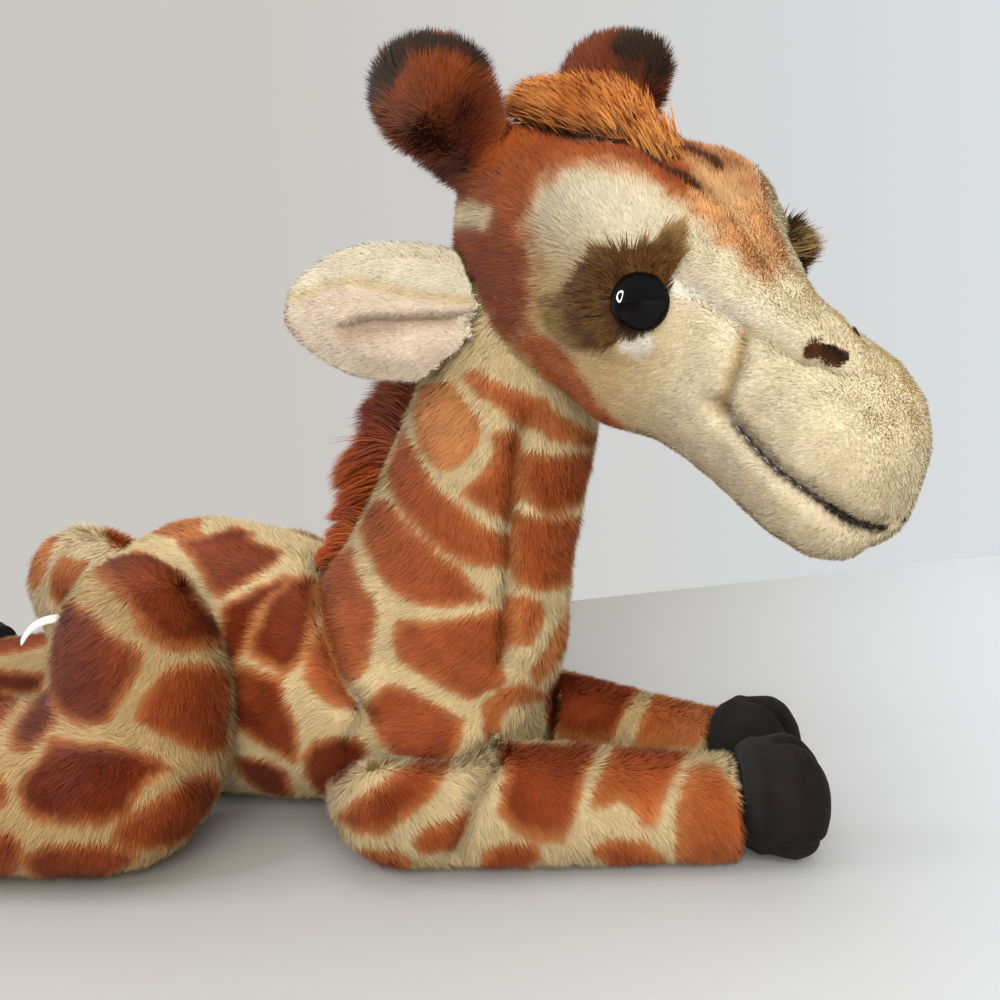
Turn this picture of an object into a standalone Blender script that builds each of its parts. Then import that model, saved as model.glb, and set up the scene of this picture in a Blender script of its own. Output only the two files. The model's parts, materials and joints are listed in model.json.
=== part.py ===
"""Plush giraffe lying on its belly, forelegs forward and hind legs trailing.

The toy faces +X, its left side is +Y and the floor it rests on is z = 0. Lengths are in metres.
Every soft form is a fabric cover with its fibre filling, taken as one solid. The forms are lofts
of rounded rings, and where two forms meet the smaller one is cut back to a seam gap. The parts
that flop or turn have their origin on the axis about which the sewn seam lets them move.
"""

import math

import bmesh
import bpy
from mathutils import Matrix, Vector

# Clearances and cuts
SEAM_GAP = 0.0003
PIVOT_GAP = 0.0006
FLOOR_FLAT_DEPTH = 0.0005
CUT_OVERRUN = 0.12

# Facets
TORSO_SIDES = 24
NECK_SIDES = 28
HEAD_SIDES = 26
LIMB_SIDES = 18
TRIM_SIDES = 12
CAP_RINGS = 4
BALL_RINGS = 10
TORSO_RINGS = 11
NECK_RINGS = 9
HEAD_RINGS = 12
LIMB_RINGS = 9
EAR_RINGS = 6
HOOF_RINGS = 4
EYE_SIDES = 20
EYE_RINGS = 12
TAIL_STEPS = 14
THREAD_RESOLUTION = 1

# Torso
TORSO_LENGTH = 0.196
TORSO_HEIGHT = 0.108
TORSO_WIDTH = 0.100
TORSO_RUMP_X = -0.134

# Neck and the ball at its foot
NECK_PIVOT_X = 0.024
NECK_PIVOT_Z = 0.072
NECK_BALL_RADIUS = 0.049
NECK_BALL_HALF_WIDTH = 0.038
NECK_LENGTH = 0.138
NECK_RADIUS = 0.0345
NECK_LEAN = math.radians(21)

# Mane
MANE_HEIGHT = 0.027
MANE_THICKNESS = 0.016
MANE_SHARES = (0.16, 0.74)
MANE_STEPS = 12
MANE_END_STEPS = 0.6

# Head, in its own frame: x along the muzzle, y to the left, z up
HEAD_LENGTH = 0.188
HEAD_HEIGHT = 0.091
HEAD_WIDTH = 0.086
HEAD_BACK = 0.052
HEAD_FROM_NECK_TOP = Vector((0.0126, -0.003, -0.0008))
HEAD_YAW = math.radians(-25)
HEAD_PITCH = math.radians(35)
HEAD_ROLL = math.radians(11)
HEAD_SQUARENESS = 2.4

# Horns
HORN_LENGTH = 0.051
HORN_RADIUS = 0.0215
HORN_THICKNESS = 0.036
HORN_FOOT_SHARE = 0.12
HORN_FOOT_TURN = math.radians(28)
HORN_SINK = 0.008
HORN_SPLAY = math.radians(38)
HORN_RAKE = math.radians(42)
HORN_RINGS = 5

# Forelock
FORELOCK_LENGTH = 0.060
FORELOCK_WIDTH = 0.040
FORELOCK_HEIGHT = 0.013
FORELOCK_SHARE = 0.17

# Ears
EAR_LENGTH = 0.070
EAR_WIDTH = 0.050
EAR_THICKNESS = 0.013
EAR_FOOT_SHARE = 0.255
EAR_FOOT_TURN = math.radians(-32)
EAR_SWEEP = math.radians(44)
EAR_DROOP = math.radians(13)
EAR_TWIST = math.radians(-38)
EAR_SINK = 0.004
EAR_FLOP = math.radians(20)
EAR_LINING_THICKNESS = 0.0016
EAR_LINING_SHARE = 0.72

# Eyes
EYE_DIAMETER = 0.018
EYE_THICKNESS = 0.011
EYE_SHARE = 0.565
EYE_TURN = math.radians(21)
EYE_SINK = 0.0015
SHANK_DIAMETER = 0.005
SHANK_LENGTH = 0.016
WASHER_DIAMETER = 0.020
WASHER_THICKNESS = 0.002
WASHER_DEPTH = 0.0085

# Face trim
PATCH_THICKNESS = 0.0012
LASH_FOOT_GAP = 0.0021
LASH_LENGTH = 0.013
LASH_THICKNESS = 0.003
LASH_WIDTH = 0.012
LASH_LIFT_SHARE = 1.65
LASH_RINGS = 3
NOSTRIL_LENGTH = 0.013
NOSTRIL_WIDTH = 0.005
MOUTH_THREAD_DIAMETER = 0.0016
NOSTRIL_SHARE = 0.85
NOSTRIL_TURN = math.radians(67)

# Forelegs
FORELEG_PIVOT_X = 0.030
FORELEG_INNER_Y = 0.0363
FORELEG_CENTRE_Y = 0.053
FORELEG_ELBOW_HEIGHT = 0.056
FORELEG_ELBOW_WIDTH = 0.052
FORELEG_LENGTH = 0.110
FORELEG_TOE_IN = math.radians(15)
FORELEG_SWEEP_RADIUS = 0.040
FORELEG_SEAT_RADIUS = 0.031
FAR_FORELEG_SETBACK = 0.012

# Hind legs
HINDLEG_PIVOT_X = -0.068
HINDLEG_PIVOT_Z = 0.050
HINDLEG_INNER_Y = 0.0483
THIGH_LENGTH = 0.070
THIGH_HEIGHT = 0.108
FAR_THIGH_HEIGHT = 0.099
FAR_HINDLEG_SETBACK = 0.012
THIGH_WIDTH = 0.056
THIGH_CENTRE_Y = 0.063
THIGH_SEAT_RADIUS = 0.058
SHANK_START = 0.032
SHANK_CENTRE_Y = 0.081
SHANK_HEIGHT = 0.061
SHANK_REACH = 0.222
RIGHT_SHANK_SPLAY = math.radians(13)
LEFT_SHANK_SPLAY = math.radians(-3)

# Hooves
FORE_HOOF_LENGTH = 0.028
FORE_HOOF_HEIGHT = 0.037
FORE_HOOF_WIDTH = 0.032
HIND_HOOF_LENGTH = 0.032
HIND_HOOF_HEIGHT = 0.044
HIND_HOOF_WIDTH = 0.036
HOOF_LIFT = 0.003
CLEFT_WIDTH = 0.004
CLEFT_DEPTH = 0.009
CLEFT_OVERRUN = 0.003
HOOF_SQUARENESS = 2.5

# Tail
TAIL_PIVOT_X = -0.126
TAIL_PIVOT_Z = 0.087
TAIL_BALL_RADIUS = 0.0165
TAIL_REACH = 0.031
TAIL_DROP = 0.052
TUFT_LENGTH = 0.030
TUFT_RADIUS = 0.012

# Filling bag and the closing seam under the belly
BAG_LENGTH = 0.070
BAG_WIDTH = 0.056
BAG_HEIGHT = 0.036
BAG_CENTRE_X = -0.070
BAG_CENTRE_Z = 0.042
CLOSING_SLIT_LENGTH = 0.046
CLOSING_SLIT_WIDTH = 0.003
CLOSING_THREAD_DIAMETER = 0.0012
CLOSING_THREAD_LIFT = 0.0012
CLOSING_STITCHES = 12

# Care label
LABEL_LENGTH = 0.026
LABEL_WIDTH = 0.014
LABEL_THICKNESS = 0.0010
LABEL_Z = 0.069
LABEL_Y = -0.026
LABEL_CURL = math.radians(34)
LABEL_STEPS = 6

# Share along the form, centre height, half height and half width
TORSO_RING_SHARES = (
    (0.00, 0.540, 0.440, 0.400),
    (0.15, 0.530, 0.490, 0.475),
    (0.30, 0.515, 0.520, 0.515),
    (0.47, 0.478, 0.483, 0.510),
    (0.62, 0.430, 0.425, 0.470),
    (0.77, 0.375, 0.345, 0.400),
    (0.90, 0.310, 0.255, 0.330),
    (1.00, 0.280, 0.210, 0.280),
)
TORSO_CAP_SHARES = (0.22, 0.14)

# Share along the neck, fore and aft radius, side radius
NECK_RING_SHARES = (
    (0.15, 1.290, 1.010),
    (0.35, 1.120, 1.035),
    (0.55, 1.030, 1.000),
    (0.66, 0.975, 0.975),
    (0.82, 0.915, 0.915),
    (1.00, 0.860, 0.860),
)
NECK_COLUMN_SHARE = 0.15
NECK_CAP_SHARE = 0.12

HEAD_RING_SHARES = (
    (0.000, 0.060, 0.370, 0.400),
    (0.170, 0.080, 0.390, 0.450),
    (0.303, 0.055, 0.450, 0.485),
    (0.436, 0.075, 0.449, 0.488),
    (0.543, 0.073, 0.408, 0.448),
    (0.649, 0.040, 0.343, 0.384),
    (0.766, 0.008, 0.338, 0.355),
    (0.872, -0.022, 0.352, 0.360),
    (0.947, -0.062, 0.348, 0.330),
    (1.000, -0.070, 0.320, 0.300),
)
HEAD_CAP_SHARES = (0.19, 0.13)

HORN_RING_SHARES = (
    (0.00, 0.0, 0.30, 0.62),
    (0.35, 0.0, 0.38, 0.78),
    (0.65, 0.0, 0.50, 1.00),
    (1.00, 0.0, 0.46, 0.92),
)
HORN_CAP_SHARES = (0.10, 0.36)

EAR_RING_SHARES = (
    (0.00, 0.0, 0.50, 0.36),
    (0.25, 0.0, 0.52, 0.47),
    (0.50, 0.0, 0.48, 0.50),
    (0.75, 0.0, 0.42, 0.45),
    (1.00, 0.0, 0.34, 0.36),
)
EAR_CAP_SHARES = (0.10, 0.34)

FORELEG_RING_SHARES = (
    (0.00, 0.500, 0.500, 0.500),
    (0.20, 0.490, 0.498, 0.495),
    (0.45, 0.380, 0.388, 0.420),
    (0.65, 0.345, 0.353, 0.380),
    (0.85, 0.318, 0.326, 0.350),
    (1.00, 0.310, 0.318, 0.340),
)
FORELEG_CAP_SHARE = 0.20

SHANK_RING_SHARES = (
    (0.00, 0.440, 0.448, 0.430),
    (0.25, 0.490, 0.498, 0.480),
    (0.50, 0.440, 0.448, 0.440),
    (0.75, 0.370, 0.378, 0.370),
    (1.00, 0.310, 0.318, 0.310),
)
SHANK_CAP_SHARE = 0.14

HOOF_RING_SHARES = (
    (0.00, 0.50, 0.44, 0.46),
    (0.35, 0.50, 0.51, 0.50),
    (0.70, 0.49, 0.50, 0.48),
    (1.00, 0.47, 0.45, 0.42),
)
HOOF_CAP_SHARE = 0.42

# Tail centre line: reach back, height from the pivot as a share of the drop, radius share
TAIL_SHARES = (
    (0.00, 0.00, 1.00),
    (0.42, 0.09, 1.00),
    (0.78, 0.09, 0.98),
    (1.00, -0.08, 0.90),
    (0.94, -0.36, 0.74),
    (0.80, -0.70, 0.60),
    (0.70, -1.00, 0.52),
)

LASH_RING_SHARES = (
    (0.0, 0.0, 0.50, 0.50),
    (0.5, 0.0, 0.40, 0.42),
    (1.0, 0.0, 0.12, 0.14),
)

TUFT_RING_SHARES = (
    (0.0, 0.0, 0.40, 0.40),
    (0.4, 0.0, 0.50, 0.50),
    (1.0, 0.0, 0.20, 0.20),
)
TUFT_CAP_SHARE = 0.3

# Mouth line: share along the head, and turn below the side as a share of a right angle
MOUTH_SHARES = (
    (0.793, 0.089),
    (0.830, 0.072),
    (0.870, 0.045),
    (0.910, 0.030),
    (0.940, 0.010),
    (0.970, -0.060),
    (0.985, -0.180),
    (0.9925, -0.42),
    (0.9955, -0.70),
    (0.9965, -1.00),
)

# Brown fur round the eye: reach from its middle, as shares of the eye's diameter
EYE_PATCH_SHARES = (
    (-1.35, -0.20), (-0.95, 0.35), (-0.55, 0.72), (0.00, 0.80), (0.45, 1.15), (0.72, 0.55),
    (0.70, 0.00), (0.45, -0.55), (-0.05, -0.70), (-0.60, -0.62), (-1.10, -0.55),
)


def remove_everything():
    for item in list(bpy.data.objects):
        bpy.data.objects.remove(item, do_unlink=True)


def material(name, red, green, blue, roughness, metallic=0.0):
    made = bpy.data.materials.new(name)
    made.use_nodes = True
    shader = made.node_tree.nodes["Principled BSDF"]
    shader.inputs["Base Color"].default_value = (red, green, blue, 1.0)
    shader.inputs["Roughness"].default_value = roughness
    shader.inputs["Metallic"].default_value = metallic
    return made


def finished(bm, mesh, smooth=False):
    """Writes the edited shape to the mesh with its faces pointing out."""
    bm.normal_update()
    bmesh.ops.recalc_face_normals(bm, faces=bm.faces)
    bm.to_mesh(mesh)
    bm.free()
    if smooth:
        mesh.shade_smooth()
    return mesh


def sample(rows, share):
    """One row of a table at a share of its length, on a smooth curve through the rows."""
    last = len(rows) - 1
    at = max(i for i in range(last) if i == 0 or rows[i][0] <= share)
    left, right = rows[at], rows[at + 1]
    before, after = rows[max(at - 1, 0)], rows[min(at + 2, last)]
    span = right[0] - left[0]
    t = (share - left[0]) / span
    found = []
    for column in range(1, len(left)):
        slope_left = (right[column] - before[column]) / (right[0] - before[0]) * span
        slope_right = (after[column] - left[column]) / (after[0] - left[0]) * span
        found.append(
            (2 * t**3 - 3 * t**2 + 1) * left[column]
            + (t**3 - 2 * t**2 + t) * slope_left
            + (3 * t**2 - 2 * t**3) * right[column]
            + (t**3 - t**2) * slope_right
        )
    return found


def cap_factor(share, start_cap, end_cap):
    """How far a rounded end draws a ring in: 0 at the tip, 1 past the cap."""
    factor = 1.0
    if start_cap and share < start_cap:
        factor *= math.sqrt(max(0.0, 1 - (1 - share / start_cap) ** 2))
    if end_cap and share > 1 - end_cap:
        factor *= math.sqrt(max(0.0, 1 - (1 - (1 - share) / end_cap) ** 2))
    return factor


def ring_shares(start_cap, end_cap, body_rings):
    """Shares of the rings: close together where an end rounds off, even between."""
    turns = [math.pi / 2 * i / CAP_RINGS for i in range(CAP_RINGS)]
    shares = [start_cap * (1 - math.cos(t)) for t in turns] if start_cap else []
    first, last = start_cap or 0.0, 1 - (end_cap or 0.0)
    shares += [first + (last - first) * i / body_rings for i in range(body_rings + 1)]
    if end_cap:
        shares += [1 - end_cap * (1 - math.cos(t)) for t in reversed(turns)]
    return shares


def loft(name, rings, sides, side_axis, squareness=2.0, axis=None):
    """Closed form through rings of (centre, half height, half width), with a pole for a ring of no size."""
    mesh = bpy.data.meshes.new(name)
    bm = bmesh.new()
    centres = [ring[0] for ring in rings]
    rows = []
    for i, (centre, half_height, half_width) in enumerate(rings):
        along = axis or (centres[min(i + 1, len(rings) - 1)] - centres[max(i - 1, 0)]).normalized()
        side = (side_axis - along * side_axis.dot(along)).normalized()
        up = along.cross(side).normalized()
        if half_height <= 0 or half_width <= 0:
            rows.append([bm.verts.new(centre)])
            continue
        row = []
        for k in range(sides):
            turn = math.tau * k / sides
            across = math.copysign(abs(math.cos(turn)) ** (2 / squareness), math.cos(turn))
            rise = math.copysign(abs(math.sin(turn)) ** (2 / squareness), math.sin(turn))
            row.append(bm.verts.new(centre + side * half_width * across + up * half_height * rise))
        rows.append(row)
    for one, two in zip(rows, rows[1:]):
        for k in range(sides):
            n = (k + 1) % sides
            if len(one) == 1:
                bm.faces.new((one[0], two[k], two[n]))
            elif len(two) == 1:
                bm.faces.new((one[k], two[0], one[n]))
            else:
                bm.faces.new((one[k], two[k], two[n], one[n]))
    for row in (rows[0], rows[-1]):
        if len(row) > 1:
            bm.faces.new(row)
    return finished(bm, mesh, True)


def straight_form(name, table, caps, size, body_rings, sides, place, grow=0.0, squareness=2.0):
    """Loft of a shares table (share, centre, half height, half width) along the local x axis."""
    length, height, width = size
    rings = []
    for share in ring_shares(caps[0], caps[1], body_rings):
        centre, half_height, half_width = sample(table, share)
        factor = cap_factor(share, caps[0], caps[1])
        reach = length * share
        if grow and share in (0, 1):
            reach += grow if share else -grow
        middle = place @ Vector((reach, 0, height * centre))
        if factor <= 0:
            rings.append((middle, 0, 0))
        else:
            rings.append((middle, height * half_height * factor + grow, width * half_width * factor + grow))
    turn = place.to_3x3()
    return loft(name, rings, sides, turn @ Vector((0, 1, 0)), squareness, turn @ Vector((1, 0, 0)))


def box_mesh(name, low, high, place=Matrix()):
    mesh = bpy.data.meshes.new(name)
    bm = bmesh.new()
    bmesh.ops.create_cube(bm, size=1)
    low, high = Vector(low), Vector(high)
    for vert in bm.verts:
        corner = Vector(high[i] if vert.co[i] > 0 else low[i] for i in range(3))
        vert.co = place @ corner
    return finished(bm, mesh)


def round_mesh(name, radius, depth, place, sides, hole_radius=0.0):
    """Disc or cylinder along the local z axis, centred on it, with a hole if asked."""
    mesh = bpy.data.meshes.new(name)
    bm = bmesh.new()
    rows = []
    for level, reach in ((-0.5, radius), (0.5, radius), (0.5, hole_radius), (-0.5, hole_radius)):
        if reach:
            turns = [math.tau * k / sides for k in range(sides)]
            corners = [Vector((reach * math.cos(t), reach * math.sin(t), depth * level)) for t in turns]
            rows.append([bm.verts.new(place @ corner) for corner in corners])
    loops = list(zip(rows, rows[1:] + rows[:1])) if hole_radius else [(rows[0], rows[1])]
    for one, two in loops:
        for k in range(sides):
            n = (k + 1) % sides
            bm.faces.new((one[k], one[n], two[n], two[k]))
    if not hole_radius:
        bm.faces.new(rows[0])
        bm.faces.new(rows[1])
    return finished(bm, mesh)


def ellipsoid_mesh(name, half_sizes, place, sides, rings):
    mesh = bpy.data.meshes.new(name)
    bm = bmesh.new()
    bmesh.ops.create_uvsphere(bm, u_segments=sides, v_segments=rings, radius=1)
    stretch = Matrix.Diagonal((*half_sizes, 1))
    bmesh.ops.transform(bm, matrix=place @ stretch, verts=bm.verts)
    return finished(bm, mesh, True)


def body(name, pivot, parent=None):
    """Empty on a joint's axis; the pieces of one moving part hang from it."""
    empty = bpy.data.objects.new(name, None)
    bpy.context.collection.objects.link(empty)
    empty["pivot"] = list(pivot)
    empty.parent = parent
    empty.location = Vector(pivot) - Vector(parent["pivot"] if parent else (0, 0, 0))
    return empty


def piece(name, mesh, carrier, finish):
    made = bpy.data.objects.new(name, mesh)
    bpy.context.collection.objects.link(made)
    mesh.transform(Matrix.Translation(-Vector(carrier["pivot"])))
    mesh.materials.append(finish)
    made.parent = carrier
    return made


def cutter(name, mesh, carrier):
    made = bpy.data.objects.new(name, mesh)
    bpy.context.collection.objects.link(made)
    mesh.transform(Matrix.Translation(-Vector(carrier["pivot"])))
    made.parent = carrier
    made.hide_render = True
    made.display_type = "WIRE"
    return made


def combine(target, tool, operation="DIFFERENCE"):
    step = target.modifiers.new(operation.title() + " " + tool.name, "BOOLEAN")
    step.operation = operation
    step.solver = "EXACT"
    step.object = tool


def turned(mesh, name, pivot, axis, angle):
    """Copy of a mesh turned about an axis through the pivot."""
    copy = mesh.copy()
    copy.name = name
    turn = Matrix.Rotation(angle, 4, axis)
    copy.transform(Matrix.Translation(pivot) @ turn @ Matrix.Translation(-pivot))
    return copy


# Frames of the main parts
ON_Y = Matrix.Rotation(math.pi / 2, 4, "X")
NECK_PIVOT = Vector((NECK_PIVOT_X, 0, NECK_PIVOT_Z))
NECK_AXIS = Vector((math.sin(NECK_LEAN), 0, math.cos(NECK_LEAN)))
NECK_PLACE = Matrix.Translation(NECK_PIVOT) @ Matrix.Rotation(NECK_LEAN - math.pi / 2, 4, "Y")
HEAD_PIVOT = NECK_PIVOT + NECK_AXIS * NECK_LENGTH * NECK_RING_SHARES[3][0]
HEAD_PLACE = (
    Matrix.Translation(NECK_PIVOT + NECK_AXIS * NECK_LENGTH + HEAD_FROM_NECK_TOP)
    @ Matrix.Rotation(HEAD_YAW, 4, "Z")
    @ Matrix.Rotation(HEAD_PITCH, 4, "Y")
    @ Matrix.Rotation(HEAD_ROLL, 4, "X")
)


def torso_mesh(name, grow=0.0):
    place = Matrix.Translation((TORSO_RUMP_X, 0, 0))
    size = (TORSO_LENGTH, TORSO_HEIGHT, TORSO_WIDTH)
    caps = TORSO_CAP_SHARES
    return straight_form(name, TORSO_RING_SHARES, caps, size, TORSO_RINGS, TORSO_SIDES, place, grow)


def neck_mesh(name, grow=0.0):
    """Ball for the hinge at the foot, then a tapering round column up into the head."""
    rings = []
    start = math.asin(NECK_COLUMN_SHARE * NECK_LENGTH / NECK_BALL_RADIUS)
    ball_rings = 2 * CAP_RINGS
    for i in range(ball_rings):
        lift = -math.pi / 2 + (start + math.pi / 2) * i / ball_rings
        reach = math.cos(lift) if i else 0
        centre = NECK_PIVOT + NECK_AXIS * (NECK_BALL_RADIUS + grow) * math.sin(lift)
        rings.append((centre, (NECK_BALL_RADIUS + grow) * reach, (NECK_BALL_HALF_WIDTH + grow) * reach))
    first = NECK_COLUMN_SHARE
    for share in ring_shares(0, NECK_CAP_SHARE / (1 - first), NECK_RINGS):
        along = first + (1 - first) * share
        half_height, half_width = sample(NECK_RING_SHARES, along)
        factor = cap_factor(along, 0, NECK_CAP_SHARE)
        tip = grow if factor <= 0 else 0
        centre = NECK_PIVOT + NECK_AXIS * (NECK_LENGTH * along + tip)
        if factor <= 0:
            rings.append((centre, 0, 0))
        else:
            reach = NECK_RADIUS * factor
            rings.append((centre, reach * half_height + grow, reach * half_width + grow))
    return loft(name, rings, NECK_SIDES, Vector((0, 1, 0)))


def head_mesh(name, grow=0.0):
    place = HEAD_PLACE @ Matrix.Translation((-HEAD_BACK, 0, 0))
    size = (HEAD_LENGTH, HEAD_HEIGHT, HEAD_WIDTH)
    return straight_form(
        name, HEAD_RING_SHARES, HEAD_CAP_SHARES, size, HEAD_RINGS, HEAD_SIDES, place, grow, HEAD_SQUARENESS
    )


def head_point(share, turn, side, lift=0.0):
    """Point over the head's surface. turn rises from the side to the crown; side is -1 right, 1 left."""
    centre, half_height, half_width = sample(HEAD_RING_SHARES, share)
    factor = cap_factor(share, HEAD_CAP_SHARES[0], HEAD_CAP_SHARES[1])
    across = abs(math.cos(turn)) ** (2 / HEAD_SQUARENESS)
    rise = math.copysign(abs(math.sin(turn)) ** (2 / HEAD_SQUARENESS), math.sin(turn))
    return Vector((
        HEAD_LENGTH * share - HEAD_BACK,
        side * (HEAD_WIDTH * half_width * factor * across + lift * math.cos(turn)),
        HEAD_HEIGHT * (centre + half_height * factor * rise) + lift * math.sin(turn),
    ))


def head_normal(share, turn, side):
    step_share, step_turn = 0.01, math.radians(2)
    forward = head_point(share + step_share, turn, side) - head_point(share - step_share, turn, side)
    if math.cos(turn) < math.sin(step_turn):
        upward = Vector((0, -side, 0))
    else:
        upward = head_point(share, turn + step_turn, side) - head_point(share, turn - step_turn, side)
    normal = upward.cross(forward) * side
    return normal.normalized()


def frame_on(point, along, normal):
    """Frame at a point with x along a direction and z along a normal."""
    x = (along - normal * along.dot(normal)).normalized()
    y = normal.cross(x)
    frame = Matrix((x, y, normal)).transposed().to_4x4()
    return Matrix.Translation(point) @ frame


def add_torso(root, finishes):
    torso = piece("torso", torso_mesh("torso"), root, finishes["plush"])
    combine(torso, cutter("cut_neck_ball", neck_mesh("cut_neck_ball", PIVOT_GAP), root))
    combine(torso, cutter("cut_torso_floor", floor_mesh("cut_torso_floor"), root))
    for side, name, fore_setback, hind_setback in (
        (-1, "right", 0, 0),
        (1, "left", FAR_FORELEG_SETBACK, FAR_HINDLEG_SETBACK),
    ):
        elbow = Vector((FORELEG_PIVOT_X - fore_setback, 0, FORELEG_ELBOW_HEIGHT / 2))
        add_seat(torso, root, f"elbow_seat_{name}", elbow, side * FORELEG_INNER_Y, FORELEG_SEAT_RADIUS)
        hip = Vector((HINDLEG_PIVOT_X - hind_setback, 0, HINDLEG_PIVOT_Z))
        add_seat(torso, root, f"thigh_seat_{name}", hip, side * HINDLEG_INNER_Y, THIGH_SEAT_RADIUS)
    place = Matrix.Translation((TAIL_PIVOT_X, 0, TAIL_PIVOT_Z)) @ ON_Y
    half = Vector((TAIL_BALL_RADIUS + PIVOT_GAP,) * 3)
    socket = ellipsoid_mesh("cut_tail_seat", half, place, TORSO_SIDES, EYE_RINGS)
    combine(torso, cutter("cut_tail_seat", socket, root))
    centre = Matrix.Translation((BAG_CENTRE_X, 0, BAG_CENTRE_Z))
    half = Vector((BAG_LENGTH, BAG_WIDTH, BAG_HEIGHT)) / 2
    room = ellipsoid_mesh(
        "cut_bag_room", half + Vector((PIVOT_GAP,) * 3), centre, LIMB_SIDES, BALL_RINGS
    )
    combine(torso, cutter("cut_bag_room", room, root))
    slit = box_mesh(
        "cut_closing_slit",
        (BAG_CENTRE_X - CLOSING_SLIT_LENGTH / 2, -CLOSING_SLIT_WIDTH / 2, -SEAM_GAP),
        (BAG_CENTRE_X + CLOSING_SLIT_LENGTH / 2, CLOSING_SLIT_WIDTH / 2, BAG_CENTRE_Z),
    )
    combine(torso, cutter("cut_closing_slit", slit, root))
    bag = ellipsoid_mesh("pellet_bag", half, centre, LIMB_SIDES, BALL_RINGS)
    piece("pellet_bag", bag, root, finishes["bag"])
    add_closing_seam(root, finishes)
    add_label(root, finishes)


def add_seat(torso, root, name, centre, inner_y, radius):
    """Round flat on the torso's flank that a leg is sewn to and swings against."""
    side = math.copysign(1, inner_y)
    middle = Vector((centre.x, inner_y + side * (CUT_OVERRUN / 2 - SEAM_GAP), centre.z))
    disc = round_mesh(f"cut_{name}", radius, CUT_OVERRUN, Matrix.Translation(middle) @ ON_Y, NECK_SIDES)
    combine(torso, cutter(f"cut_{name}", disc, root))


def tube(name, points, radius, resolution):
    """Mesh of a round thread through the points, with capped ends."""
    curve = bpy.data.curves.new(name, "CURVE")
    curve.dimensions = "3D"
    curve.bevel_depth = radius
    curve.bevel_resolution = resolution
    curve.use_fill_caps = True
    line = curve.splines.new("POLY")
    line.points.add(len(points) - 1)
    for spot, point in zip(line.points, points):
        spot.co = (*point, 1)
    holder = bpy.data.objects.new(name, curve)
    bpy.context.collection.objects.link(holder)
    bpy.context.view_layer.update()
    graph = bpy.context.evaluated_depsgraph_get()
    mesh = bpy.data.meshes.new_from_object(holder.evaluated_get(graph))
    bpy.data.objects.remove(holder)
    mesh.name = name
    return mesh


def add_closing_seam(root, finishes):
    """Ladder stitch that closes the slit, zigzag along it and clear of the floor."""
    stitches = CLOSING_STITCHES
    reach = CLOSING_SLIT_LENGTH - 2 * CLOSING_THREAD_DIAMETER
    swing = CLOSING_SLIT_WIDTH / 2 - CLOSING_THREAD_DIAMETER / 2 - SEAM_GAP
    points = []
    for i in range(stitches + 1):
        x = BAG_CENTRE_X - reach / 2 + reach * i / stitches
        points.append(Vector((x, swing if i % 2 else -swing, CLOSING_THREAD_LIFT + CLOSING_THREAD_DIAMETER)))
    thread = tube("closing_seam", points, CLOSING_THREAD_DIAMETER / 2, THREAD_RESOLUTION)
    piece("closing_seam", thread, root, finishes["thread"])


def add_label(root, finishes):
    """Blank satin care label that curls back from the seam under the tail."""
    mesh = bpy.data.meshes.new("care_label")
    bm = bmesh.new()
    rows = []
    radius = LABEL_LENGTH / LABEL_CURL
    start_x = TORSO_RUMP_X + LABEL_LENGTH / 2
    for i in range(LABEL_STEPS + 1):
        angle = LABEL_CURL * i / LABEL_STEPS
        row = []
        for rise, thick in ((-0.5, 0), (0.5, 0), (0.5, 1), (-0.5, 1)):
            reach = radius + LABEL_THICKNESS * thick
            x = start_x - reach * math.sin(angle)
            y = LABEL_Y - radius + reach * math.cos(angle)
            row.append(bm.verts.new((x, y, LABEL_Z + LABEL_WIDTH * rise)))
        rows.append(row)
    for one, two in zip(rows, rows[1:]):
        for k in range(4):
            n = (k + 1) % 4
            bm.faces.new((one[k], one[n], two[n], two[k]))
    bm.faces.new(rows[0])
    bm.faces.new(rows[-1])
    finished(bm, mesh)
    label = piece("care_label", mesh, root, finishes["satin"])
    combine(label, cutter("cut_label_torso", torso_mesh("cut_label_torso", SEAM_GAP), root))


def add_neck(root, finishes):
    neck_body = body("neck_pivot", NECK_PIVOT, root)
    piece("neck", neck_mesh("neck"), neck_body, finishes["plush"])
    rows = []
    mesh = bpy.data.meshes.new("mane")
    bm = bmesh.new()
    back = NECK_AXIS.cross(Vector((0, 1, 0)))
    for i in range(MANE_STEPS + 1):
        share = MANE_SHARES[0] + (MANE_SHARES[1] - MANE_SHARES[0]) * i / MANE_STEPS
        foot = NECK_RADIUS * sample(NECK_RING_SHARES, share)[0]
        swell = math.sin(math.pi * (i + MANE_END_STEPS) / (MANE_STEPS + 2 * MANE_END_STEPS)) ** 0.5
        row = []
        for level, half in ((0.0, 0.5), (0.55, 0.42), (1.0, 0.12)):
            reach = -(foot - MANE_THICKNESS / 4 + (MANE_HEIGHT * swell + MANE_THICKNESS / 4) * level)
            spine = NECK_PIVOT + NECK_AXIS * NECK_LENGTH * share + back * -reach
            row.append((spine, MANE_THICKNESS * half))
        ring = [bm.verts.new(point + Vector((0, width, 0))) for point, width in row]
        ring += [bm.verts.new(point - Vector((0, width, 0))) for point, width in reversed(row)]
        rows.append(ring)
    for one, two in zip(rows, rows[1:]):
        for k in range(len(one)):
            n = (k + 1) % len(one)
            bm.faces.new((one[k], one[n], two[n], two[k]))
    bm.faces.new(rows[0])
    bm.faces.new(rows[-1])
    finished(bm, mesh)
    mane = piece("mane", mesh, neck_body, finishes["mane"])
    combine(mane, cutter("cut_mane_neck", neck_mesh("cut_mane_neck", SEAM_GAP), neck_body))
    return neck_body


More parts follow.
